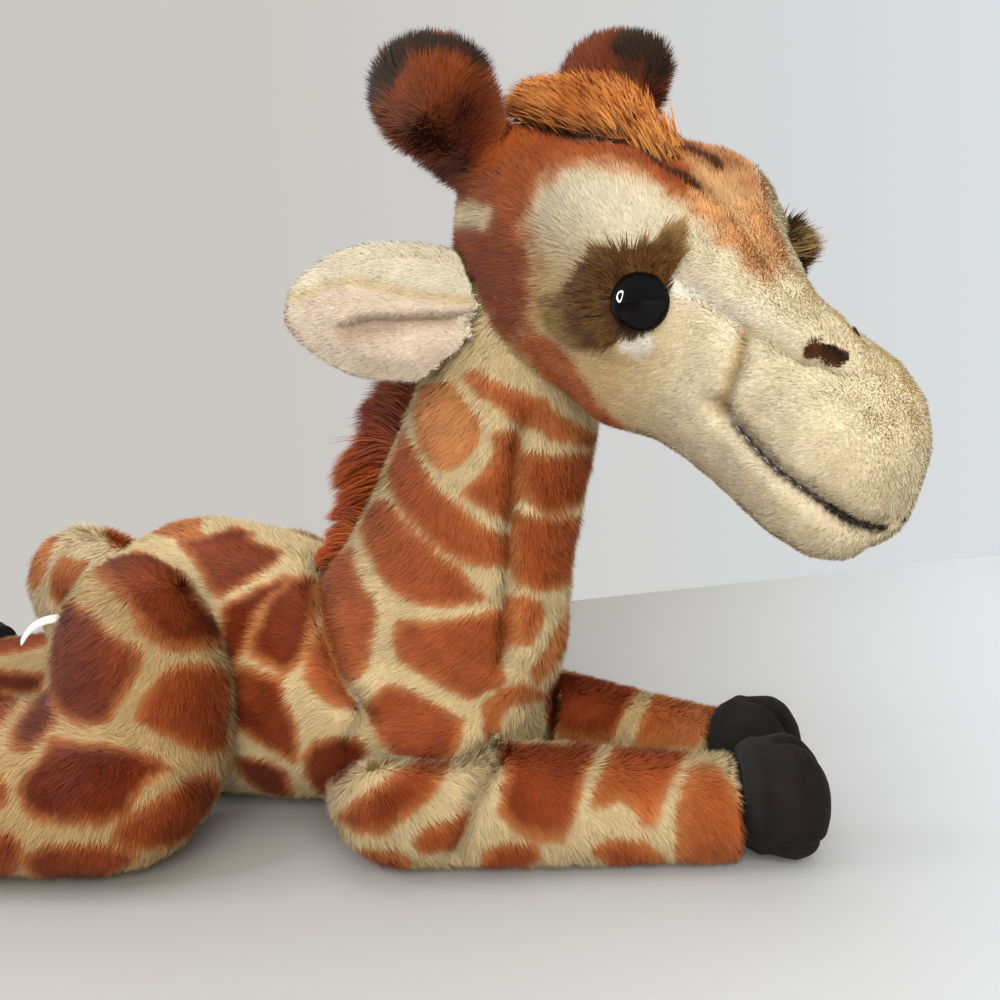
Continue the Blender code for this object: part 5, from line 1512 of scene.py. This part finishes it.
def grow_mane():
    """Long rust pile down the back of the neck to the withers, combed outwards into ragged spikes."""
    inner = core("mane_core", "mane", "neck", 0.0042, "#8C3F20")
    skin = skins["trunk"]
    axis = np.array(NECK_AXIS)
    back = unit(np.cross(axis, [0.0, 1.0, 0.0]))
    back = back if back[0] < 0 else -back
    out = inner.points @ back
    inner.write(inner.points - back * ((out - out.min()) * 0.72)[:, None])
    seen, _ = pixels_of(skin.points)
    strip = np.exp(-(((skin.points[:, 1] - MIDDLE_Y) / MANE_HALF) ** 4)) * ease(0.1, 0.4, skin.normals @ back)
    strip *= ease(MANE_TOP - 4, MANE_TOP + 4, seen[:, 1]) * ease(MANE_FOOT + 3, MANE_FOOT - 6, seen[:, 1])
    strip *= (seen[:, 0] > MANE_LEFT) & (seen[:, 0] < MANE_RIGHT)
    planter = Planter(skin, 301).roots(long_hairs(MANE_HAIRS), strip + 1e-9)
    random = planter.random
    places = planter.places
    seen, _ = pixels_of(places)
    down = ease(MANE_TOP, MANE_FOOT, seen[:, 1])
    sides = (places[:, 1] - MIDDLE_Y)[:, None] / MANE_HALF * [0, 1, 0]
    sway = cloud(places, 0.008, 64)[:, None] * axis * 1.1
    fan = cloud(places, 0.009, 65)[:, None] * np.array([0, 1, 0]) * 0.35
    ways = back * 1.0 + axis * (0.30 - 0.70 * down)[:, None] + sway + fan + sides * 0.45
    ways = unit(ways + 0.20 * random.standard_normal(places.shape))
    lengths = (MANE_LENGTH - MANE_FOOT_SHORTER * down) * (0.45 + 0.55 * random.random(len(places)))
    lengths = lengths * (1 + 0.36 * cloud(places, 0.010, 66))
    lengths *= ease(MANE_FOOT + 6, MANE_FOOT - 40, seen[:, 1]) * 0.55 + 0.45
    shades = mix(MANE_DARK, MANE_LIGHT, np.clip(0.35 + 0.4 * down + 0.45 * cloud(places, 0.008, 61), 0, 1))
    outward = unit(planter.outward + 0.6 * sides + [0, -0.4, 0.2])
    locks("mane_locks", places, ways, lengths, 0.00052, (0, 0, -0.30), shades, "trunk", 302, outward,
        clumps=0.0065)


FORELOCK_SHIFT = RIGHT * 0.0050 - UP * 0.0036
FORELOCK_HAIRS, EDGE_HAIRS = 17000, 7000
FORELOCK_LENGTH = 0.0165
FORELOCK_DARK, FORELOCK_LIGHT = linear("#9A4E1E"), linear("#D6914E")
FORELOCK_EDGE = traced("520,118 540,123 574,131 605,134 630,139 652,150 670,160")
FORELOCK_RISE = (600, 655)  # columns over which the tuft turns upwards


def grow_forelock():
    """Orange tuft between the horns, combed up and back from a seam above the brow."""
    inner = core("forelock_core", "forelock", "head", 0.004, "#A85C28")
    inner.write(inner.points + np.array(FORELOCK_SHIFT))
    top = ease(-0.5, 0.2, inner.normals @ np.array(UP))
    planter = Planter(inner, 311).roots(long_hairs(FORELOCK_HAIRS), top + 1e-9)
    random = planter.random
    edge = hits_of("head", FORELOCK_EDGE)
    share = np.sort(random.random(long_hairs(EDGE_HAIRS))) * (len(edge) - 1)
    start = np.minimum(share.astype(int), len(edge) - 2)
    roots = edge[start] + (edge[start + 1] - edge[start]) * (share - start)[:, None]
    roots = np.concatenate([planter.places, roots + 0.0022 * random.standard_normal((len(share), 3))])
    edge_way = np.array(UP) * 0.7 - np.array(RIGHT) * 0.1 + np.array(BACK) * 0.7
    outward = np.concatenate([planter.outward, np.tile(edge_way, (len(share), 1))])
    flow = np.array(-RIGHT * 0.80 + UP * 0.62 - BACK * 0.15)
    part = cloud(roots, 0.012, 67)[:, None] * np.array(UP * 0.5)
    part = part + cloud(roots, 0.010, 68)[:, None] * np.array(RIGHT * 0.45)
    risen = ease(*FORELOCK_RISE, pixels_of(roots)[0][:, 0])
    flow = mix(flow, np.array(UP * 1.0 - RIGHT * 0.50 - BACK * 0.1), risen)
    ways = unit(flow + part + 0.38 * unit(outward) + 0.16 * random.standard_normal(roots.shape))
    lengths = FORELOCK_LENGTH * (0.45 + 0.7 * random.random(len(ways)))
    shades = mix(FORELOCK_DARK, FORELOCK_LIGHT, np.clip(0.5 + 0.6 * cloud(roots, 0.006, 62), 0, 1))
    locks(
        "forelock_locks", roots, ways, lengths, 0.00055, tuple(np.array(-UP * 0.22)), shades, "head", 312,
        unit(outward), clump=0.3, clumps=0.0045)


TUFT_HAIRS = 5000
TUFT_LENGTH = 0.010


def grow_tuft():
    """Dark tuft at the end of the tail, hanging to just above the table."""
    skin = core("tuft_core", "tail_tuft", "tail", 0.002, "#6A3319")
    planter = Planter(skin, 321).roots(long_hairs(TUFT_HAIRS))
    random = planter.random
    ways = np.array([0.0, 0.0, -1.0]) + 0.4 * planter.outward
    ways = unit(ways + 0.15 * random.standard_normal(planter.places.shape))
    to_table = (planter.places[:, 2] - 0.0005) / 0.95
    lengths = np.minimum(TUFT_LENGTH * (0.6 + 0.8 * random.random(len(ways))), to_table)
    shades = mix(linear("#5A2A16"), linear("#8C4A25"), 0.5 + 0.5 * cloud(planter.places, 0.006, 63))
    locks("tuft_locks", planter.places, ways, np.maximum(lengths, 0.002), 0.0007, (0, 0, 0), shades, "tail",
        322, planter.outward, steps=4)


grow_mane()
grow_forelock()
grow_tuft()

# Eyes
EYE_INSET = {"right": 0.0030, "left": 0.0042}
# Polished black acrylic, and the plain white polyethylene of the washer behind it.
EYE_PLASTIC, _ = new_material(
    "polished_acrylic_eye", Roughness=0.05, IOR=1.49, Specular_IOR_Level=0.12,
    Base_Color=rgba(linear("#0A090A")))
WASHER_PLASTIC, _ = new_material("moulded_polyethylene", Roughness=0.5, Base_Color=rgba(linear("#DEDCD4")))
EYE_HAIRS = 9000
UP_CORNER = np.array([0.45, 0, 0.9])
REAR_CORNER = np.array([-1.0, 0, -0.1])
LASH_ROWS = 15
LASH_LONGER = 0.0100


def set_eyes():
    """Domed safety eyes in brown fur, with lashes."""
    for side in ("right", "left"):
        dome = merged_copy(f"eye_dome_{side}", [f"eye_{side}"])
        apply_modifier(dome, "REMESH", mode="VOXEL", voxel_size=0.0005, adaptivity=0.0)
        apply_modifier(dome, "SMOOTH", factor=0.5, iterations=8)
        middle = sum((Vector(corner) for corner in dome.bound_box), Vector()) / 8
        inward = skins["head"].tree.find_nearest(middle)[1] * -EYE_INSET[side]
        dome.data.transform(Matrix.Translation(inward))
        pick(dome)
        bpy.ops.object.shade_smooth()
        clothe(dome, EYE_PLASTIC)
        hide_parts(f"eye_{side}")
        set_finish(dome, "eye_plastic")
        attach(dome, "head")
        washer = NODES[f"eye_washer_{side}"]
        for slot in washer.material_slots:
            slot.material = WASHER_PLASTIC
        grow_eye_fur(side)


def grow_eye_fur(side):
    """Dark brown fur round the eye, combed away from it, longest at the two corners."""
    sign = -1 if side == "right" else 1
    skin = skins["head"]
    own = in_head(skin.points)[:, 1] * sign > 0
    depth = eye_fur_depth(skin.points, skin.normals)
    weight = ease(0.0006, 0.0018, depth) * own
    planter = Planter(skin, 331 + sign).roots(long_hairs(EYE_HAIRS), weight + 1e-9)
    random = planter.random
    eye = folded(on_head(EYE_CENTRE)) * [1, -sign, 1]
    local = in_head(planter.places)
    away = unit(local - eye)
    flow = away + 0.5 * UP_CORNER * np.maximum(away @ UP_CORNER, 0)[:, None]
    flow = flow + 0.6 * REAR_CORNER * np.maximum(away @ REAR_CORNER, 0)[:, None]
    far = np.linalg.norm(local - eye, axis=1)
    spike = ease(0.55, 0.95, away @ unit(UP_CORNER))
    ways = unit(flow) @ HEAD_AXES.T + (0.5 + 0.2 * spike)[:, None] * planter.outward
    lengths = 0.0042 + (0.0042 + 0.0045 * spike) * ease(0.010, 0.018, far) * random.random(len(far))
    if side == "left":
        lash = hill(pixels_of(planter.places)[0][:, 1] - FAR_LASH_ROW, LASH_ROWS) * ease(-0.3, 0.2, away[:, 2])
        ways = mix(ways, np.array(RIGHT + UP * 0.15) + 0.35 * planter.outward, lash)
        lengths += LASH_LONGER * lash * random.random(len(far))
        far = far + 0.008 * lash
    ways = unit(ways + 0.15 * random.standard_normal(local.shape))
    light = ease(0.012, 0.022, far) * 0.8 + 0.25 * cloud(planter.places, 0.003, 69)
    shades = mix(EYE_BROWN, EYE_TIP, np.clip(light, 0, 1))
    fur = locks(
        f"eye_fur_{side}", planter.places + planter.outward * 0.0004, ways, lengths, 0.0005, (0, 0, 0), shades,
        "head", 340 + sign, planter.outward, clump=0.3, clumps=0.004, tip=1.5)
    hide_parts(f"eye_patch_{side}", f"eyelash_{side}")
    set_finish(fur, "dark_fur")


set_eyes()

# Nostrils and mouth
THREAD, _ = new_material("twisted_polyester_thread", Roughness=0.6, Base_Color=rgba(linear("#2A1C14")))
PALE_THREAD, _ = new_material("pale_polyester_thread", Roughness=0.6, Base_Color=rgba(linear("#C9AE7C")))
STITCH = 0.0042
STITCH_GAP = 0.0007
STITCH_STEPS = 6
STITCH_RISE = 0.0006
THREAD_HALF = 0.00042
NOSTRIL_HAIRS = 3000
NOSTRIL_ROOT, NOSTRIL_TIP = linear("#2E1C12"), linear("#6B4327")


def line_nostrils():
    """Short dark pile in the hollow of each nostril."""
    skin = skins["head"]
    line = head_path(NOSTRIL_LINE)
    for number, side in enumerate(("right", "left")):
        own = in_head(skin.points)[:, 1] * (-1 if side == "right" else 1) > 0
        weight = ease(0.0016, 0.0008, path_distance(near_side(skin.points), line)) * own
        weight = weight * unseen_far(skin.points, skin.normals)
        planter = Planter(skin, 351 + number).roots(long_hairs(NOSTRIL_HAIRS), weight + 1e-9)
        nap = np.array(HEAD_TURN @ Vector((-1.0, 0.0, 0.3)))
        shades = mix(NOSTRIL_ROOT, NOSTRIL_TIP, np.clip(0.3 + 0.6 * cloud(planter.places, 0.003, 71), 0, 1))
        piece = plant(f"nostril_fur_{side}", planter, shades, 0.0026, 0.00045, 0.8, nap, "head", (0.7, 1.1))
        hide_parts(f"nostril_{side}")
        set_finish(piece, "dark_fur")


def sewn_thread(name, stitches):
    """Round thread that tapers into the cloth at both ends of each stitch."""
    curve = bpy.data.curves.new(name, "CURVE")
    curve.dimensions = "3D"
    curve.bevel_depth = THREAD_HALF
    curve.bevel_resolution = 2
    curve.use_fill_caps = True
    for path in stitches:
        spline = curve.splines.new("POLY")
        spline.points.add(len(path) - 1)
        for k, (point, place) in enumerate(zip(spline.points, path)):
            point.co = (*place, 1)
            point.radius = 0.55 if k in (0, len(path) - 1) else 1.0
    piece = add_object(name, curve)
    pick(piece)
    bpy.ops.object.convert(target="MESH")
    bpy.ops.object.shade_smooth()
    clothe(piece, THREAD)
    return piece


def stitch_mouth():
    """Backstitched thread in the fold of the mouth, round both sides of the muzzle."""
    near = head_path(MOUTH_LINE[1:])
    far = near[::-1] * [1, -1, 1]
    tree = skins["head"].tree
    paths = []
    for line in (near, far):
        steps = np.concatenate([[0], np.cumsum(np.linalg.norm(np.diff(line, axis=0), axis=1))])
        for start in np.arange(0, steps[-1] - STITCH, STITCH):
            stitch = []
            for k in range(STITCH_STEPS + 1):
                at = start + STITCH_GAP / 2 + (STITCH - STITCH_GAP) * k / STITCH_STEPS
                place = from_head(np.array([[np.interp(at, steps, line[:, i]) for i in range(3)]]))[0]
                near_place, normal, _, _ = tree.find_nearest(Vector(place))
                seen = line is far and normal.dot(CAMERA_PLACE - near_place) > 0
                rise = 0.0003 + STITCH_RISE * math.sin(math.pi * k / STITCH_STEPS)
                stitch.append(tuple(near_place + normal * rise))
            if not seen:
                paths.append(stitch)
    piece = sewn_thread("mouth_stitches", paths)
    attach(piece, "head")
    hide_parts("mouth_thread")
    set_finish(piece, "thread")


line_nostrils()
stitch_mouth()


# Hooves
def suede():
    """Brushed microsuede: matt and dark, with a faint nap that catches the light."""
    material, shader = new_material("brushed_microsuede", Roughness=0.95, Sheen_Weight=0.03,
        Sheen_Roughness=0.5)
    shader.inputs["Sheen Tint"].default_value = (0.75, 0.7, 0.68, 1.0)
    shader.inputs["Specular IOR Level"].default_value = 0.08
    place = add_node(material, "ShaderNodeTexCoord")
    patchy = add_node(material, "ShaderNodeTexNoise",
        {"Vector": place.outputs["Object"], "Scale": 130.0, "Detail": 4.0})
    tones = {"Factor": patchy.outputs["Fac"], 6: rgba(linear("#110E0F")), 7: rgba(linear("#241E1E"))}
    tone = add_node(material, "ShaderNodeMix", tones, data_type="RGBA")
    nap = add_node(material, "ShaderNodeTexNoise",
        {"Vector": place.outputs["Object"], "Scale": 1500.0, "Detail": 3.0})
    bump = add_node(material, "ShaderNodeBump",
        {"Height": nap.outputs["Fac"], "Distance": 0.0003, "Strength": 0.8})
    material.node_tree.links.new(tone.outputs[2], shader.inputs["Base Color"])
    material.node_tree.links.new(bump.outputs["Normal"], shader.inputs["Normal"])
    return material


SUEDE = suede()
CLEFT_REACH = 0.0017
CLEFT_DEPTH = -0.0045
LOBE_RISE = 0.0014
LOBE_AT, LOBE_REACH = 0.008, 0.006
SOLE_SEAM_DEPTH = -0.0011
SOLE_SEAM_REACH = 0.0009
CUFF_RISE = 0.0009
CUFF_AT, CUFF_REACH = 0.0075, 0.002


def make_hoof(kind, side):
    """A suede hoof of two lobes with a cleft between them and a seam above the sole."""
    node, body = f"{kind}_hoof_{side}", f"{kind}leg_{side}"
    skin = stuffed_skin(f"{node}_suede", body, [node], 0.0010, 7, 0.0)
    middle = skin.points.mean(0)
    leg = skins[body].points
    near = leg[np.linalg.norm(leg - middle, axis=1) < 0.05]
    axis = unit((middle - near.mean(0)) * [1, 1, 0])
    width = np.cross([0.0, 0.0, 1.0], axis)
    away = skin.points - middle
    along, across = away @ axis, away @ width
    bow = across + 0.0015 * np.sin(away[:, 2] / 0.012)
    front = ease(-0.004, 0.006, along)
    rise = CLEFT_DEPTH * hill(bow, CLEFT_REACH) * front
    rise += LOBE_RISE * front * hill(np.abs(across) - LOBE_AT, LOBE_REACH)
    seam = away[:, 2] + 0.42 * np.ptp(away[:, 2]) - 0.003 - 0.10 * along
    rise += SOLE_SEAM_DEPTH * hill(seam, SOLE_SEAM_REACH)
    rise += CUFF_RISE * hill(along + CUFF_AT, CUFF_REACH) + 0.0004 * cloud(skin.points, 0.009, 81)
    skin.swell(rise)
    clothe(skin.piece, SUEDE)
    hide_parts(node)
    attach(skin.piece, body)
    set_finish(skin.piece, "hoof_suede")


for kind in ("fore", "hind"):
    for side in ("right", "left"):
        make_hoof(kind, side)


# Label, pellet bag and closing seam
def woven(name, colour, scale, roughness):
    """Plain woven cloth: warp and weft waves as a bump."""
    material, shader = new_material(name, Roughness=roughness, Base_Color=rgba(linear(colour)))
    place = add_node(material, "ShaderNodeTexCoord")
    wave = {"Vector": place.outputs["Object"], "Scale": scale}
    warp = add_node(material, "ShaderNodeTexWave", wave, bands_direction="X")
    weft = add_node(material, "ShaderNodeTexWave", wave, bands_direction="Z")
    crossed = {0: warp.outputs["Fac"], 1: weft.outputs["Fac"]}
    both = add_node(material, "ShaderNodeMath", crossed, operation="MULTIPLY")
    bump = add_node(material, "ShaderNodeBump",
        {"Height": both.outputs[0], "Distance": 0.0002, "Strength": 0.6})
    material.node_tree.links.new(bump.outputs["Normal"], shader.inputs["Normal"])
    return material


SATIN = woven("satin_ribbon", "#EDEBE6", 900.0, 0.35)
COTTON = woven("cotton_calico", "#DCD3BE", 500.0, 0.9)
LABEL_LINE = traced("60,618 48,619 36,624 27,632 21,643")
LABEL_WIDTH = 0.0085
LABEL_THICK = 0.0005
LABEL_TILT = 0.16
LABEL_CUTS = 4  # faces across the ribbon


def sew_label():
    """A blank satin ribbon, sewn in at the haunch and curling down to its free end."""
    low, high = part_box("care_label")
    middle = (low + high) / 2
    depth = -(middle - CAMERA_PLACE).dot(BACK)
    away = unit(np.array(middle - CAMERA_PLACE) * [1, 1, 0])
    tilt = unit(away + np.array([0, 0, LABEL_TILT]))
    vertices, faces = [], []
    row = LABEL_CUTS + 1
    for pixel in LABEL_LINE:
        ray = sight_line(pixel)
        place = np.array(CAMERA_PLACE + ray * (depth / -ray.dot(BACK)))
        vertices += [tuple(place + tilt * LABEL_WIDTH * (k / LABEL_CUTS - 0.5)) for k in range(row)]
    for start in range(0, len(vertices) - row, row):
        faces += [(k, k + 1, k + 1 + row, k + row) for k in range(start, start + LABEL_CUTS)]
    piece = new_piece("care_label_ribbon", vertices, faces)
    apply_modifier(piece, "SUBSURF", levels=2)
    apply_modifier(piece, "SOLIDIFY", thickness=LABEL_THICK, offset=0.0)
    pick(piece)
    bpy.ops.object.shade_smooth_by_angle(angle=math.radians(40))
    piece.data.materials.append(SATIN)
    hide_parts("care_label")
    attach(piece, "body")
    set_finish(piece, "satin")


def fill_bag():
    """The calico bag of pellets in the belly, a little lumpy."""
    skin = stuffed_skin("pellet_bag_cloth", "body", ["pellet_bag"], 0.0018, 6, 0.0)
    skin.swell(0.0009 * cloud(skin.points, 0.004, 91))
    clothe(skin.piece, COTTON)
    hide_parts("pellet_bag")
    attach(skin.piece, "body")
    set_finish(skin.piece, "bag_cotton")


sew_label()
fill_bag()
for slot in NODES["closing_seam"].material_slots:
    slot.material = PALE_THREAD

# The record's finish for each new piece, by the start of its name.
FINISHES = {
    "giraffe_plush": ("trunk", "chest", "back", "foreleg", "hindleg", "tail"),
    "cream_plush": ("head", "face", "crown"),
    "ear_plush": ("ear_",),
    "long_pile": ("mane", "forelock", "tuft"),
}
for piece in list(bpy.data.objects):
    for finish, starts in FINISHES.items():
        if piece.name.startswith(starts) and piece.name not in NODES and "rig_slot" not in piece:
            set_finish(piece, finish)

# Floor, wall and light
TABLE_EDGE = ((580, 600), (1000, 555))
# Painted light and shade on the wall: darker to the left, lighter to the right.
WALL_SHADED_TONE = linear("#CBC8C4")
WALL_LIT_TONE = linear("#DCE0E3")
WALL_BEHIND = 0.6
WALL_LOW, WALL_HIGH = -2, 3
TABLE_SHADED_GREY = linear("#867C70")
TABLE_WHITE = linear("#CED1D3")
STAGE_SIDE = 8
WORLD_STRENGTH = 0.6


def floor_point(pixel):
    line = sight_line(pixel)
    return CAMERA_PLACE + line * (-CAMERA_PLACE.z / line.z)


def tone_across(material, low, high, left, right):
    """A colour that turns from left to right along x, between low and high metres."""
    place = add_node(material, "ShaderNodeTexCoord")
    split = add_node(material, "ShaderNodeSeparateXYZ", {"Vector": place.outputs["Object"]})
    reach = {"Value": split.outputs["X"], "From Min": low, "From Max": high}
    span = add_node(material, "ShaderNodeMapRange", reach)
    tones = {"Factor": span.outputs["Result"], 6: rgba(left), 7: rgba(right)}
    return add_node(material, "ShaderNodeMix", tones, data_type="RGBA").outputs[2]


def painted_table():
    """Matt white paint, a little greyer on the left: painted shade where less light falls."""
    material, shader = new_material("painted_table", Roughness=0.8)
    tone = tone_across(material, -0.10, 0.30, TABLE_SHADED_GREY, TABLE_WHITE)
    material.node_tree.links.new(tone, shader.inputs["Base Color"])
    return material


def emulsion_wall():
    """A wall that glows in its pale tone, darker to the left, for camera, glossy and transmission rays: painted
    light and shade. Other rays see it matt.
    """
    material = bpy.data.materials.new("emulsion_wall")
    material.use_nodes = True
    material.node_tree.nodes.clear()
    tone = tone_across(material, -0.45, 0.45, WALL_SHADED_TONE, WALL_LIT_TONE)
    glow = add_node(material, "ShaderNodeEmission", {"Color": tone, "Strength": 1.0})
    matt = add_node(material, "ShaderNodeBsdfDiffuse", {"Color": rgba(WALL_LIT_TONE)})
    path = add_node(material, "ShaderNodeLightPath")
    shown = path.outputs["Is Camera Ray"]
    for ray in ("Is Glossy Ray", "Is Transmission Ray"):
        shown = add_node(material, "ShaderNodeMath", {0: shown, 1: path.outputs[ray]},
            operation="MAXIMUM").outputs[0]
    both = add_node(material, "ShaderNodeMixShader", {0: shown, 1: matt.outputs[0], 2: glow.outputs[0]})
    add_node(material, "ShaderNodeOutputMaterial", {"Surface": both.outputs[0]})
    return material


def build_stage():
    """A white table with its far edge where the photograph has it, and a pale wall behind."""
    one, two = (floor_point(pixel) for pixel in TABLE_EDGE)
    along = (two - one).normalized()
    near = Vector((along.y, -along.x, 0))
    near = near if (CAMERA_PLACE - one).dot(near) > 0 else -near
    middle = (one + two) / 2
    half = STAGE_SIDE / 2
    corners = [middle + along * u + near * v for u, v in ((-half, 0), (half, 0), (half, half), (-half, half))]
    table = new_piece("table", [tuple(corner) for corner in corners], [(0, 1, 2, 3)])
    clothe(table, painted_table())
    foot = middle - near * WALL_BEHIND
    spans = ((-half, WALL_LOW), (half, WALL_LOW), (half, WALL_HIGH), (-half, WALL_HIGH))
    wall = new_piece("wall", [tuple(foot + along * u + Vector((0, 0, v))) for u, v in spans], [(0, 1, 2, 3)])
    clothe(wall, emulsion_wall())
    world = bpy.data.worlds.new("studio")
    bpy.context.scene.world = world
    world.use_nodes = True
    world.node_tree.nodes["Background"].inputs["Color"].default_value = (1.0, 0.99, 0.97, 1)
    world.node_tree.nodes["Background"].inputs["Strength"].default_value = WORLD_STRENGTH


def soft_light(name, place, target, size, power, colour=(1, 1, 1)):
    lamp = bpy.data.lights.new(name, "AREA")
    lamp.size = size
    lamp.energy = power
    lamp.color = colour
    holder = add_object(name, lamp)
    holder.location = place
    holder.visible_glossy = False
    holder.rotation_euler = (Vector(target) - Vector(place)).to_track_quat("-Z", "Y").to_euler()


RING_GLANCE = (620.5, 295.6)  # the glint's pixel
RING_FAR = 0.5
RING_RADIUS, RING_TUBE = 0.095, 0.017
RING_STRENGTH = 170.0


def ring_lamp():
    """A ring lamp beside the camera that only shows as the glint in the eye."""
    eye = bpy.data.objects["eye_dome_right"]
    place, normal, _, _ = mesh_tree(eye).ray_cast(CAMERA_PLACE, sight_line(RING_GLANCE))
    ray = (place - CAMERA_PLACE).normalized()
    bounce = ray - 2 * ray.dot(normal) * normal
    deselect()
    bpy.ops.mesh.primitive_torus_add(
        major_radius=RING_RADIUS, minor_radius=RING_TUBE, major_segments=48, minor_segments=8)
    ring = bpy.context.object
    ring.name = "ring_lamp"
    turn = bounce.to_track_quat("Z", "Y").to_matrix().to_4x4()
    ring.data.transform(Matrix.Translation(place + bounce * RING_FAR) @ turn)
    glow = bpy.data.materials.new("lit_tube")
    glow.use_nodes = True
    glow.node_tree.nodes.clear()
    light = add_node(glow, "ShaderNodeEmission", {"Strength": RING_STRENGTH})
    add_node(glow, "ShaderNodeOutputMaterial", {"Surface": light.outputs[0]})
    ring.data.materials.append(glow)
    for ray_kind in ("camera", "diffuse", "transmission", "volume_scatter", "shadow"):
        setattr(ring, f"visible_{ray_kind}", False)


build_stage()
ring_lamp()
soft_light("window", (1.22, -2.4, 1.29), (0.05, 0, 0.12), 2.08, 94.7, (1.0, 0.985, 0.96))
soft_light("ceiling", (0.2, -0.3, 1.9), (0, 0, 0.1), 1.6, 12.0)

bpy.context.scene.view_settings.view_transform = "Standard"
